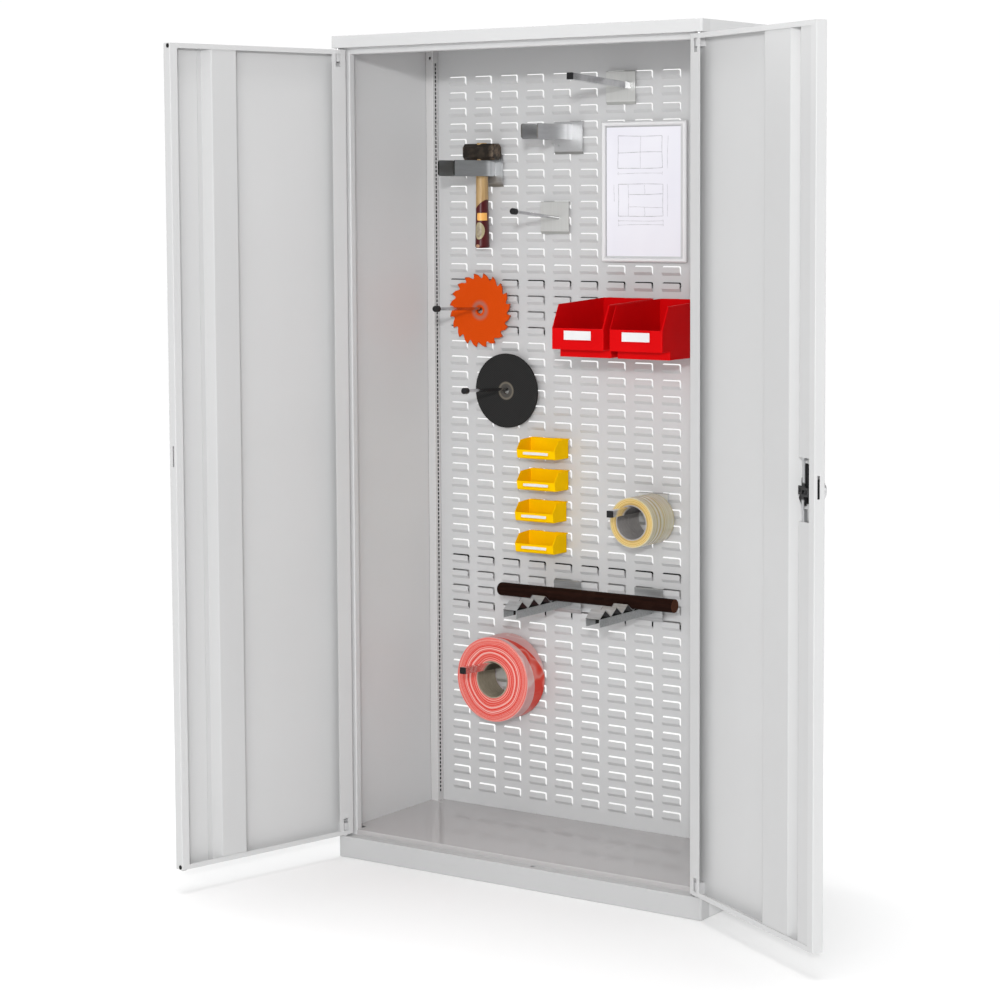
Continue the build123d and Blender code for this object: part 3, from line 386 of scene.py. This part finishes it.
def moulded(name, colour, rough, gloss=0.2, grain=0.05):
    """Moulded plastic: fine grain, flow marks, and roughness that changes a little."""
    shade = Shade(name)
    shade.colour(shade.blend(shade.noise(18, 4, 0.6), scaled(colour, 0.9), colour, 0.25, 0.75))
    shade.rough(rough - 0.06, rough + 0.08, shade.noise(60, 3))
    shade.bump(shade.noise(900, 2), grain, 0.0003)
    shade.set(Specular_IOR_Level=gloss)
    return shade.material


# The cabinet's greys are copies of one paint, each made lighter or darker by part as painted light and
# shade.
grey = powder_coat("cabinet_grey", (0.585, 0.587, 0.59), 0.42, scuffs=0.25)
side_grey = powder_coat("side_grey", (0.626, 0.628, 0.631), 0.42, scuffs=0.25, dark=shade_behind_posts)
base_grey = powder_coat("base_grey", (0.475, 0.477, 0.48), 0.42, scuffs=0.25)
door_grey = powder_coat("door_grey", (0.572, 0.574, 0.576), 0.42, scuffs=0.15)
fold_grey = powder_coat("fold_grey", (0.54, 0.542, 0.544), 0.42)
post_grey = powder_coat("post_grey", (0.56, 0.555, 0.555), 0.36, dark=shade_behind_perforations)
rail_grey = powder_coat("rail_grey", (0.56, 0.555, 0.555), 0.36, dark=shade_against_wall)
floor_grey = powder_coat("floor_grey", (0.45, 0.437, 0.437), 0.05, gloss=0.85, peel=0.004)
wall_grey = powder_coat("wall_grey", (0.555, 0.557, 0.561), 0.38)
zinc = bare_metal("zinc_plate", (0.7, 0.705, 0.71), 0.34, (1, 0.06, 1), 0.05, 0.8)
satin_chrome = bare_metal("satin_chrome", (0.66, 0.66, 0.67), 0.24)
# The last value is the strength of the painted highlight along the bend.
wide_prongs = prong_steel("wide_holder", (0.25, 0.24, 0.225), (0.44, 0.445, 0.45), 0.4)
hammer_prongs = prong_steel("hammer_holder", (0.035, 0.037, 0.035), (0.27, 0.28, 0.285), 0.35)
black = moulded("black_plastic", (0.014, 0.014, 0.015), 0.45)
bush_grey = moulded("bush_grey", (0.62, 0.62, 0.625), 0.45)
rubber = moulded("black_rubber", (0.012, 0.012, 0.012), 0.7, gloss=0.1, grain=0.2)
red = moulded("bin_red", (0.63, 0.002, 0.0035), 0.36, gloss=0.05)
yellow = moulded("bin_yellow", (0.95, 0.56, 0.001), 0.4, gloss=0.01)
label_white = moulded("label_card", (0.74, 0.74, 0.745), 0.5)

PAINT = (
    (base_grey, "plinth"),
    (side_grey, "left_side_panel right_side_panel"),
    (grey, "top_cover left_front_post right_front_post header_rail"),
    (door_grey, "left_door_panel right_door_panel"),
    (fold_grey, "left_door_stiffener right_door_stiffener lock_channel"),
    (post_grey, "left_rear_post right_rear_post"),
    (rail_grey, "upper_back_rail lower_back_rail"),
    (floor_grey, "floor_panel"),
    (wall_grey, "upper_louvred_panel middle_louvred_panel lower_louvred_panel"),
    (zinc, "levelling_feet back_panel_screws hinge_pins"),
    (wide_prongs, "wide_holder"),
    (hammer_prongs, "hammer_holder"),
    (saw_tooth_steel(), "left_bar_holder right_bar_holder"),
    (lock_rod_steel(), "upper_lock_rod lower_lock_rod"),
    (satin_chrome, "turn_handle lock_cylinder"),
    (black, "lock_case lock_cam hook_caps"),
    (bush_grey, "left_door_bushes right_door_bushes"),
    (rubber, "left_door_buffers"),
    (red, "red_bin_left red_bin_right"),
    (yellow, "yellow_bin_1 yellow_bin_2 yellow_bin_3 yellow_bin_4"),
)
HOOKS = "long_square_hook upper_tape_hook lower_tape_hook round_hook blade_hook disc_hook"


def assign(material, names):
    """Gives the named nodes one material in every slot."""
    for name in names.split():
        materials = nodes[name].data.materials
        if not materials:
            materials.append(material)
        for index in range(len(materials)):
            materials[index] = material


for material, names in PAINT:
    assign(material, names)
for hook in HOOKS.split():
    assign(hook_finish(hook), hook)


# ------------------------------------------------------------------ materials of the hung tools

# Zones of finish on the round goods, inwards from the outer radius.
RIM_START, RIM_END = 0.0018, 0.0008
TEETH_START, TEETH_END = 0.0039, 0.0019
FILM_EDGE, FILM_EDGE_HALF = 0.0005, 0.0018

# Radii about the bores, with the strength of the blade's stamped ring and the tones of the disc's hub.
BLADE_STAMP = ((0.0145, 0.0), (0.0155, 0.6), (0.0185, 0.75), (0.0225, 0.5), (0.0245, 0.0))
DISC_HUB = ((0.0165, (0.07, 0.066, 0.06)), (0.0172, (0.02, 0.02, 0.02)), (0.0185, (0.17, 0.15, 0.12)))
HUB_END, GRIT_START = 0.0205, 0.0215
PACKING_BORE, PACKING_BORE_HALF = 0.0445, 0.0015

# The printed band round the barrier tape: metres that its edges run along the roll per radian,
# and how far they lie behind the roll's front and rear face on its right side.
FRONT_SLANT, REAR_SLANT = 0.0143, 0.045
BAND_FRONT, BAND_REAR = 0.03, 0.004

# The handle's lacquer ends on a slanting line, this far above the lower end on the middle line.
DIP_HEIGHT = 0.1033

# Depth of the bar's cut end and of the notice frame's recess, which is painted darker as shade, and
# reach of the painted shadow of the border along the paper's top and left edges.
BAR_CUT = 0.0008
RECESS_START, RECESS_END = 0.0027, 0.005
BORDER_SHADOW_TOP, BORDER_SHADOW_LEFT = 0.0026, 0.0016


class Turned(Shade):
    """A shade for a round node whose axis lies along Y."""

    def __init__(self, name, node):
        super().__init__(name)
        low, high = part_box(node)
        middle_x, _, middle_z = middle(node)
        self.outer = (high[2] - low[2]) / 2
        x, self.y, z = self.split()
        self.across = self.minus(x, middle_x)
        self.up = self.minus(z, middle_z)
        self.radius = self.distance(self.across, self.up)

    def rings(self, pitch, *stops):
        """Uneven rings, like turning marks or wound layers."""
        wobble = self.times(self.noise(9, 2), pitch * 3)
        return self.ramp(self.bands(self.plus(self.radius, wobble), 1 / pitch, 3), *stops)

    def rim(self):
        """1 on the rim and 0 on the faces."""
        return self.blend(self.radius, 0.0, 1.0, self.outer - RIM_START, self.outer - RIM_END)


def wood(name, light, dark, grain):
    """Wood with fibres drawn out along the small axis of the grain."""
    shade = Shade(name)
    fibre = shade.noise(150, 5, 0.65, shade.stretch(grain))
    tone = shade.blend(fibre, dark, light, 0.3, 0.62)
    shade.bump(fibre, 0.2, 0.0004)
    return shade, tone


def blade_lacquer():
    """Orange lacquer with bare tooth tips, turning marks and a stamped ring at the bore."""
    shade = Turned("blade_lacquer", "saw_blade")
    turned = shade.rings(0.0012, (0.3, (0.58, 0.058, 0.002)), (0.7, (0.65, 0.068, 0.003)))
    teeth = shade.blend(shade.radius, 0.0, 0.7, shade.outer - TEETH_START, shade.outer - TEETH_END)
    dull = shade.blend(shade.noise(45, 5, 0.7), 0.0, 0.25, 0.58, 0.8)
    ring = shade.ramp(shade.radius, *BLADE_STAMP)
    tone = shade.mix(dull, turned, (0.68, 0.12, 0.03))
    tone = shade.mix(ring, tone, (0.3, 0.17, 0.14))
    shade.colour(shade.mix(teeth, tone, (0.2, 0.07, 0.04)))
    shade.set(Specular_IOR_Level=0.06)
    shade.rough(0.34, 0.5, shade.noise(70, 3))
    shade.bump(ring, 0.5, 0.0006)
    return shade.material


def disc_grit():
    """Bonded grit with a net pressed in, and a metal ring at the bore."""
    shade = Turned("disc_grit", "grinding_disc")
    net = shade.node("ShaderNodeTexWave", wave_type="BANDS", bands_direction="DIAGONAL")
    net.inputs["Scale"].default_value = 120
    net.inputs["Distortion"].default_value = 1.2
    shade.link(shade.place, net.inputs["Vector"])
    grain = shade.noise(1400, 3, 0.7)
    speck = shade.blend(shade.mix(0.35, grain, net.outputs["Fac"]), 0.012, 0.032, 0.35, 0.72)
    inside = shade.blend(shade.radius, 1.0, 0.0, HUB_END, GRIT_START)
    shade.colour(shade.mix(inside, speck, shade.ramp(shade.radius, *DISC_HUB)))
    shade.bump(grain, 0.6, 0.0005)
    shade.set(Roughness=0.82, Specular_IOR_Level=0.15)
    return shade.material


def packing_film():
    """Clear gold film wound on edge: bright rings on the faces, pale bands round the rim."""
    shade = Turned("packing_film", "packing_tape_roll")
    gold = ((0.32, (0.46, 0.28, 0.05)), (0.5, (0.64, 0.45, 0.14)), (0.68, (0.74, 0.59, 0.27)))
    pale = ((0.34, (0.5, 0.4, 0.19)), (0.48, (0.6, 0.55, 0.38)), (0.66, (0.66, 0.64, 0.54)))
    face = shade.rings(0.0016, *gold)
    bands = shade.bands(shade.y, 130, 4)
    outer_edge = shade.near(shade.radius, shade.outer - FILM_EDGE, FILM_EDGE_HALF)
    inner_edge = shade.near(shade.radius, PACKING_BORE, PACKING_BORE_HALF)
    face = shade.mix(shade.either(outer_edge, inner_edge), face, (0.46, 0.3, 0.09))
    shade.colour(shade.mix(shade.rim(), face, shade.ramp(bands, *pale)))
    shade.rough(0.16, 0.32, bands)
    shade.set(Subsurface_Weight=0.25, Coat_Weight=0.15, Coat_Roughness=0.1)
    shade.set(Subsurface_Radius=(0.01, 0.006, 0.002))
    return shade.material


def barrier_film():
    """Printed film: red and white layers on the faces, one wide slanting band round the rim."""
    shade = Turned("barrier_film", "barrier_tape_roll")
    (_, front, _), (_, rear, _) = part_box("barrier_tape_roll")
    red_layer, mid_layer, pale_layer = (0.68, 0.04, 0.028), (0.72, 0.14, 0.11), (0.8, 0.46, 0.42)
    layers = (red_layer, pale_layer, mid_layer, red_layer, mid_layer, pale_layer)
    face = shade.rings(0.0055, *zip((0.38, 0.44, 0.48, 0.55, 0.6, 0.66), layers))
    angle = shade.math("ARCTAN2", shade.up, shade.across)
    front_edge = shade.plus(shade.y, shade.times(angle, FRONT_SLANT))
    rear_edge = shade.plus(shade.y, shade.times(angle, REAR_SLANT))
    behind_front = shade.above(front_edge, front + BAND_FRONT)
    printed = shade.times(behind_front, shade.below(rear_edge, rear + BAND_REAR))
    clear = shade.mix(shade.noise(16, 4), (0.56, 0.44, 0.44), (0.68, 0.62, 0.62))
    vivid = shade.mix(shade.noise(16, 4), (0.62, 0.028, 0.012), (0.7, 0.05, 0.025))
    shade.colour(shade.mix(shade.rim(), face, shade.mix(printed, clear, vivid)))
    shade.rough(0.22, 0.42, shade.noise(40, 3))
    shade.set(Specular_IOR_Level=0.12)
    return shade.material


def board_tube(name, colour):
    """Wound board with faint layers."""
    shade = Shade(name)
    layers = shade.noise(420, 3, 0.6, shade.stretch((0.2, 1, 0.2)))
    shade.colour(shade.blend(layers, scaled(colour, 0.72), colour))
    shade.bump(layers, 0.25, 0.0005)
    shade.set(Roughness=0.75)
    return shade.material


def forged_head():
    """Blackened steel, worn brown and bright towards the struck ends."""
    shade = Shade("forged_head")
    worn = shade.blend(shade.noise(60, 6, 0.72), 0.0, 1.0, 0.44, 0.6)
    ends = shade.absolute(shade.minus(shade.split()["X"], middle("hammer_head")[0]))
    near_end = shade.blend(ends, 0.12, 0.75, 0.033, 0.045)
    tone = shade.mix(shade.noise(22, 4), (0.012, 0.0105, 0.009), (0.03, 0.022, 0.016))
    shade.colour(shade.mix(shade.times(worn, near_end), tone, (0.24, 0.18, 0.13)))
    shade.set(Metallic=0.35, Specular_IOR_Level=0.3)
    shade.rough(0.38, 0.62, worn)
    shade.bump(shade.noise(160, 5, 0.6), 0.35, 0.0008)
    return shade.material


def dipped_handle():
    """Pale ash above, dipped dark red below a slanting line, with bare spots on the front."""
    shade, ash = wood("dipped_handle", (0.5, 0.34, 0.16), (0.3, 0.18, 0.07), (1, 1, 0.06))
    middle_x, middle_y, _ = middle("hammer_handle")
    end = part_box("hammer_handle")[0][2]
    x, y, z = shade.split()
    front = shade.below(y, middle_y)
    dipped = shade.below(shade.minus(shade.minus(z, end), shade.minus(x, middle_x)), DIP_HEIGHT)
    worn = shade.mix(shade.noise(140, 4), (0.12, 0.08, 0.05), (0.5, 0.45, 0.33))
    # Middle of a spot from the handle's middle line and its end, half size, roundness and tone.
    spots = (
        ((0.0075, 0.076), (0.0098, 0.0092), 6, (0.85, 0.45, 0.12)),
        ((0.003, 0.0417), (0.0105, 0.0205), 2.2, (0.38, 0.33, 0.2)),
        ((0.003, 0.0417), (0.0065, 0.0155), 2.2, worn),
        ((-0.0005, 0.0052), (0.0055, 0.0042), 2, (0.42, 0.24, 0.15)),
    )
    tone = shade.mix(shade.noise(35, 5), (0.05, 0.004, 0.006), (0.095, 0.009, 0.011))
    for (across, up), halves, roundness, bare in spots:
        shares = (
            shade.math("DIVIDE", shade.minus(value, centre), half)
            for value, centre, half in zip((x, z), (middle_x + across, end + up), halves)
        )
        powers = (shade.math("POWER", shade.absolute(share), roundness) for share in shares)
        inside = shade.below(shade.plus(*powers), 1)
        tone = shade.mix(shade.times(inside, front), tone, bare)
    shade.colour(shade.mix(dipped, ash, tone))
    shade.rough(0.26, 0.42, shade.noise(50, 3))
    shade.set(Specular_IOR_Level=0.3)
    return shade.material


def bar_stain():
    """Dark stained wood with a copper-brown cut end."""
    shade, tone = wood("bar_stain", (0.019, 0.0075, 0.0052), (0.009, 0.0045, 0.0036), (0.05, 1, 1))
    cut_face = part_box("round_bar")[1][0]
    cut = shade.above(shade.split()["X"], cut_face - BAR_CUT)
    worn = shade.blend(shade.noise(24, 6, 0.7), 0.0, 0.35, 0.56, 0.74)
    side = shade.mix(worn, tone, (0.036, 0.018, 0.012))
    shade.colour(shade.mix(cut, side, (0.08, 0.032, 0.019)))
    shade.rough(0.38, 0.52, shade.noise(60, 4))
    shade.set(Specular_IOR_Level=0.012)
    return shade.material


def frame_plastic():
    """White moulded border round a recess that is painted slightly darker as shade."""
    shade = Shade("frame_plastic")
    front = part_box("notice_frame")[0][1]
    # Painted shade: the recess is darker than the border.
    recess = shade.blend(shade.split()["Y"], 0.0, 1.0, front + RECESS_START, front + RECESS_END)
    border = shade.mix(shade.noise(18, 4), (0.72, 0.72, 0.73), (0.78, 0.78, 0.79))
    shade.colour(shade.mix(recess, border, (0.55, 0.55, 0.56)))
    shade.rough(0.26, 0.36, shade.noise(60, 3))
    shade.set(Specular_IOR_Level=0.3)
    return shade.material


def drawing_paper():
    """White paper with faint waves, and a grey painted shadow of the border along its top and left
    edges.
    """
    shade = Shade("drawing_paper")
    (left, _, _), (_, _, top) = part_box("notice_sheet")
    x, _, z = shade.split()
    # Painted shadow of the border along the top and left edges.
    border_shadow = shade.either(shade.near(z, top, BORDER_SHADOW_TOP), shade.near(x, left, BORDER_SHADOW_LEFT))
    paper = shade.blend(shade.noise(6, 3), (0.78, 0.775, 0.84), (0.82, 0.815, 0.87))
    shade.colour(shade.mix(border_shadow, paper, (0.4, 0.4, 0.42)))
    shade.bump(shade.noise(14, 3), 0.25, 0.004)
    shade.set(Roughness=0.6)
    return shade.material


assign(blade_lacquer(), "saw_blade")
assign(disc_grit(), "grinding_disc")
assign(packing_film(), "packing_tape_roll")
assign(barrier_film(), "barrier_tape_roll")
assign(board_tube("grey_board", (0.4, 0.38, 0.37)), "packing_tape_core")
assign(board_tube("brown_board", (0.36, 0.31, 0.23)), "barrier_tape_core")
assign(forged_head(), "hammer_head")
assign(dipped_handle(), "hammer_handle")
assign(bar_stain(), "round_bar")
assign(frame_plastic(), "notice_frame")
assign(drawing_paper(), "notice_sheet")


# ------------------------------------------------------------------ labels and drawing

# A label is a bowed card inside a raised ridge.
CARD_THICK = 0.0004
CARD_BOW = 0.0003
CARD_SKIRT = 0.00064
CARD_COLUMNS, CARD_ROWS = 12, 4
RIDGE_MARGIN = 0.003
RIDGE_CORNER = 0.0016
RIDGE_HALF, RIDGE_TOP_HALF = 0.0009, 0.00036
RIDGE_PROUD = 0.0011
RIDGE_SUNK = 0.0002
RIDGE_EASE_ACROSS, RIDGE_EASE_UP = 1.6, 6

# Width and height of the cards, and their middle's place from the foot, top and front of a bin.
RED_LABEL = (0.073, 0.0208)
RED_LABEL_UP = 0.052
YELLOW_LABEL = (0.071, 0.0092)
YELLOW_LABEL_DOWN = 0.0325
YELLOW_LABEL_IN = 0.0011
YELLOW_LEAN = -0.156


def mesh_piece(name, body, material, build):
    """A mesh made by build(bmesh), riding on a body and painted from a material slot."""
    data = bpy.data.meshes.new(name)
    shape = bmesh.new()
    build(shape)
    bmesh.ops.recalc_face_normals(shape, faces=shape.faces)
    shape.to_mesh(data)
    shape.free()
    data.materials.append(material)
    piece = bpy.data.objects.new(name, data)
    scene.collection.objects.link(piece)
    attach(piece, body)


def rounded(width, height, radius, steps=5):
    """Points of a rounded rectangle about its middle, counter-clockwise."""
    points = []
    for quarter, (side_a, side_b) in enumerate(((1, 1), (-1, 1), (-1, -1), (1, -1))):
        for step in range(steps + 1):
            angle = (quarter + step / steps) * math.pi / 2
            a = side_a * (width / 2 - radius) + radius * math.cos(angle)
            b = side_b * (height / 2 - radius) + radius * math.sin(angle)
            points.append((a, b))
    return points


def leaning(centre, lean):
    """Maps (across, up, out) of a face that looks to the front and leans by an angle."""
    x, y, z = centre
    return lambda a, b, out: (
        x + a,
        y - b * math.sin(lean) - out * math.cos(lean),
        z + b * math.cos(lean) - out * math.sin(lean),
    )


def card(shape, spot, width, height):
    """A thin card, slightly bowed, lying on a face, with a skirt round its edge."""
    grid = []
    for row in range(CARD_ROWS + 1):
        line = []
        for column in range(CARD_COLUMNS + 1):
            a = (column / CARD_COLUMNS - 0.5) * width
            b = (row / CARD_ROWS - 0.5) * height
            bow = CARD_BOW * math.cos(math.pi * a / width) * math.cos(math.pi * b / height)
            line.append(shape.verts.new(spot(a, b, CARD_THICK + bow)))
        grid.append(line)
    for lower, upper in zip(grid, grid[1:]):
        for column in range(CARD_COLUMNS):
            shape.faces.new((lower[column], lower[column + 1], upper[column + 1], upper[column]))
    rim = [edge for edge in shape.edges if edge.is_boundary]
    skirt = bmesh.ops.extrude_edge_only(shape, edges=rim)["geom"]
    for vert in [item for item in skirt if isinstance(item, bmesh.types.BMVert)]:
        vert.co.y += CARD_SKIRT


def ridge(shape, spot, width, height):
    """A raised rounded ridge round a card."""
    profile = (
        (-RIDGE_HALF, -RIDGE_SUNK),
        (-RIDGE_TOP_HALF, RIDGE_PROUD),
        (RIDGE_TOP_HALF, RIDGE_PROUD),
        (RIDGE_HALF, -RIDGE_SUNK),
    )
    sections = []
    for a, b in rounded(width, height, RIDGE_CORNER):
        length = math.hypot(a, b)
        out_a = math.copysign(min(1, abs(a) / length * RIDGE_EASE_ACROSS), a)
        out_b = math.copysign(min(1, abs(b) / length * RIDGE_EASE_UP), b)
        sections.append([
            shape.verts.new(spot(a + offset * out_a, b + offset * out_b, out)) for offset, out in profile
        ])
    for section, following in zip(sections, sections[1:] + sections[:1]):
        for corner in range(len(profile) - 1):
            shape.faces.new(
                (section[corner], following[corner], following[corner + 1], section[corner + 1])
            )


def bin_label(node, centre, size, lean, material):
    """A label card and the ridge that holds it, on the front of a bin."""
    width, height = size
    spot = leaning(centre, lean)
    mesh_piece(f"{node}_label", node, label_white, lambda shape: card(shape, spot, width, height))
    mesh_piece(
        f"{node}_label_ridge",
        node,
        material,
        lambda shape: ridge(shape, spot, width + RIDGE_MARGIN, height + RIDGE_MARGIN),
    )


for node in ("red_bin_left", "red_bin_right"):
    front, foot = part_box(node)[0][1:]
    centre = (middle(node)[0], front, foot + RED_LABEL_UP)
    bin_label(node, centre, RED_LABEL, 0, red)
for number in range(1, 5):
    node = f"yellow_bin_{number}"
    (_, front, _), (_, _, top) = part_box(node)
    centre = (middle(node)[0], front + YELLOW_LABEL_IN, top - YELLOW_LABEL_DOWN)
    bin_label(node, centre, YELLOW_LABEL, YELLOW_LEAN, yellow)

PAPER_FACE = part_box("notice_sheet")[0][1]
PENCIL_PROUD = 0.00012
SKETCH_SEED = 4
STROKE_PIECES = 14
WAVER = 0.0006
TREMBLE = 0.00012
WAVER_TURN, PRESSURE_TURN = 5, 9  # radians along a stroke
LIGHTEST = 0.6  # share of a stroke's width where the pencil presses least
BOLD, THIN = 0.0011, 0.0007

# The sketch on the sheet in millimetres: left, right, low and high of two boxes, how far below
# each its dimension lines lie, and the other lines from start to end.
SKETCH_BOXES = (
    ((49, 170, 1638, 1713), (12,)),
    ((50, 172, 1526, 1601), (11, 20)),
)
SKETCH_LINES = (
    ((110, 1639), (111, 1712), THIN),
    ((50, 1675), (169, 1676), BOLD),
    ((78, 1527), (77, 1600), THIN),
    ((78, 1577), (171, 1578), BOLD),
    ((78, 1548), (172, 1547), THIN),
    ((122, 1578), (122, 1600), THIN),
    ((122, 1527), (122, 1547), THIN),
    ((184, 1526), (184, 1601), THIN),
    ((184, 1638), (185, 1713), THIN),
    ((38, 1560), (38, 1600), THIN),
)


def stroke(shape, start, end, wide, chance):
    """A hand-drawn pencil line on the sheet, as a thin wavering ribbon."""
    dx, dz = end[0] - start[0], end[1] - start[1]
    length = math.hypot(dx, dz)
    side = (-dz / length, dx / length)
    phase = chance.uniform(0, 6)
    previous = None
    for step in range(STROKE_PIECES + 1):
        share = step / STROKE_PIECES
        waver = WAVER * math.sin(phase + share * WAVER_TURN) + chance.uniform(-TREMBLE, TREMBLE)
        pressure = math.sin(phase + share * PRESSURE_TURN) ** 2
        half = wide * (LIGHTEST + (1 - LIGHTEST) * pressure) / 2
        x = start[0] + dx * share + side[0] * waver
        z = start[1] + dz * share + side[1] * waver
        y = PAPER_FACE - PENCIL_PROUD
        pair = [shape.verts.new((x + side[0] * edge, y, z + side[1] * edge)) for edge in (-half, half)]
        if previous:
            shape.faces.new((previous[0], pair[0], pair[1], previous[1]))
        previous = pair


def metres(point):
    """A point given in millimetres."""
    return tuple(value / 1000 for value in point)


def dimension_line(left, right, height):
    """A level line with a short tick across each end."""
    ticks = [((end, height - 3), (end, height + 4), THIN) for end in (left, right)]
    return [((left, height), (right, height + 1), THIN), *ticks]


def drawing(shape):
    """Two plain box outlines with dividing lines and dimension lines."""
    lines = []
    for (left, right, low, high), drops in SKETCH_BOXES:
        corners = ((left, low), (right, low + 1), (right - 1, high), (left, high + 1))
        lines += [(start, end, BOLD) for start, end in zip(corners, corners[1:] + corners[:1])]
        for drop in drops:
            lines += dimension_line(left, right, low - drop)
    chance = random.Random(SKETCH_SEED)
    for start, end, wide in (*lines, *SKETCH_LINES):
        stroke(shape, metres(start), metres(end), wide, chance)


def pencil_lead():
    """Grey pencil with a broken grain."""
    shade = Shade("pencil")
    shade.colour(shade.blend(shade.noise(900, 2), (0.12, 0.12, 0.14), (0.45, 0.45, 0.48), 0.35, 0.65))
    shade.set(Roughness=0.6)
    return shade.material


mesh_piece("sheet_drawing", "cabinet", pencil_lead(), drawing)


# ------------------------------------------------------------------ room, light and camera

WORLD_LIT = 0.5
WORLD_SEEN = 1.02

# The floor takes shadows within the first radius and glows like the room beyond the second.
FLOOR_SIZE = 60
FLOOR_DROP = 0.0008
FLOOR_RAMP_REACH = 10
SHADOW_RADIUS = 1.4
GLOW_RADIUS = 3.0
FLOOR_PALE, FLOOR_DARK = (0.79, 0.79, 0.79), (0.02, 0.02, 0.02)
NEAR_GLOW = 0.05

# Name, place, point aimed at, width and height, and watts of each area light.
LIGHTS = (
    ("key", (4.77, -7.63, 2.95), (0, 0, 1.1), (0.4, 0.4), 285),
    ("front", (2.5, -7.0, 2.4), (0, 0, 1.0), (3.6, 3.0), 150),
    ("top", (0, -0.4, 9.0), (0, 0, 0), (6.0, 6.0), 540),
    ("right", (7.0, 1.2, 2.2), (0, 0, 1.0), (2.5, 2.5), 35),
    ("left", (-7.0, 0.8, 2.2), (0, 0, 1.0), (3.0, 3.0), 130),
    ("back", (-1.0, 6.6, 3.0), (0, 0, 1.0), (4.0, 3.0), 170),
)

# The camera solved from the photo: place, angles in radians, and focal length in pixels.
CAMERA_PLACE = (3.2446, -4.9549, 1.5860)
YAW, PITCH, ROLL = -0.6033, -0.0813, -0.0054
FOCAL_PIXELS = 2559.26
PHOTO_PIXELS = 1000
SENSOR_MM = 36
CAMERA_SHIFT = -0.1  # of the picture's height
CLIP_START, CLIP_END = 0.1, 60


def white_world():
    """A white room: one strength lights the part and another is seen behind it."""
    world = bpy.data.worlds.new("studio")
    world.use_nodes = True
    sky = world.node_tree
    lit, seen = sky.nodes["Background"], sky.nodes.new("ShaderNodeBackground")
    for background, strength in ((lit, WORLD_LIT), (seen, WORLD_SEEN)):
        background.inputs["Color"].default_value = (1, 1, 1, 1)
        background.inputs["Strength"].default_value = strength
    choice = sky.nodes.new("ShaderNodeMixShader")
    rays = sky.nodes.new("ShaderNodeLightPath")
    sky.links.new(rays.outputs["Is Camera Ray"], choice.inputs["Fac"])
    sky.links.new(lit.outputs["Background"], choice.inputs[1])
    sky.links.new(seen.outputs["Background"], choice.inputs[2])
    sky.links.new(choice.outputs["Shader"], sky.nodes["World Output"].inputs["Surface"])
    scene.world = world


def studio_floor():
    """Pale floor that takes shadows round the part and turns into the white of the room."""
    bpy.ops.mesh.primitive_plane_add(size=FLOOR_SIZE, location=(0, 0, -FLOOR_DROP))
    ground = bpy.context.object
    ground.name = "studio_floor"
    shade = Shade("studio_floor")
    x, y, _ = shade.split()
    share = shade.math("DIVIDE", shade.distance(x, y), FLOOR_RAMP_REACH)
    near_end, far_end = SHADOW_RADIUS / FLOOR_RAMP_REACH, GLOW_RADIUS / FLOOR_RAMP_REACH
    away = shade.blend(share, 0.0, 1.0, near_end, far_end)
    glow = shade.plus(shade.times(away, 1 - NEAR_GLOW), NEAR_GLOW)
    shade.colour(shade.mix(away, FLOOR_PALE, FLOOR_DARK))
    shade.set(Roughness=0.8, Specular_IOR_Level=0.0, Emission_Color=(1, 1, 1, 1))
    shade.link(glow, shade.shader.inputs["Emission Strength"])
    ground.data.materials.append(shade.material)


def area_light(name, place, target, size, watts):
    data = bpy.data.lights.new(name, "AREA")
    data.shape = "RECTANGLE"
    data.size, data.size_y = size
    data.energy = watts
    light = bpy.data.objects.new(name, data)
    scene.collection.objects.link(light)
    light.location = place
    light.rotation_mode = "QUATERNION"
    light.rotation_quaternion = (Vector(target) - Vector(place)).to_track_quat("-Z", "Y")


def photo_camera():
    """The photo's camera. Its axes come from yaw, pitch and roll."""
    data = bpy.data.cameras.new("camera")
    data.lens = FOCAL_PIXELS * SENSOR_MM / PHOTO_PIXELS
    data.sensor_width = SENSOR_MM
    data.shift_y = CAMERA_SHIFT
    data.clip_start, data.clip_end = CLIP_START, CLIP_END
    camera = bpy.data.objects.new("camera", data)
    scene.collection.objects.link(camera)
    forward = Vector((math.sin(YAW) * math.cos(PITCH), math.cos(YAW) * math.cos(PITCH), math.sin(PITCH)))
    level_right = Vector((math.cos(YAW), -math.sin(YAW), 0))
    level_up = level_right.cross(forward)
    right = level_right * math.cos(ROLL) + level_up * math.sin(ROLL)
    up = level_up * math.cos(ROLL) - level_right * math.sin(ROLL)
    turn = Matrix((right, up, -forward)).transposed().to_4x4()
    camera.matrix_world = Matrix.Translation(CAMERA_PLACE) @ turn
    scene.camera = camera


white_world()
scene.view_settings.view_transform = "Standard"
studio_floor()
for light in LIGHTS:
    area_light(*light)
photo_camera()
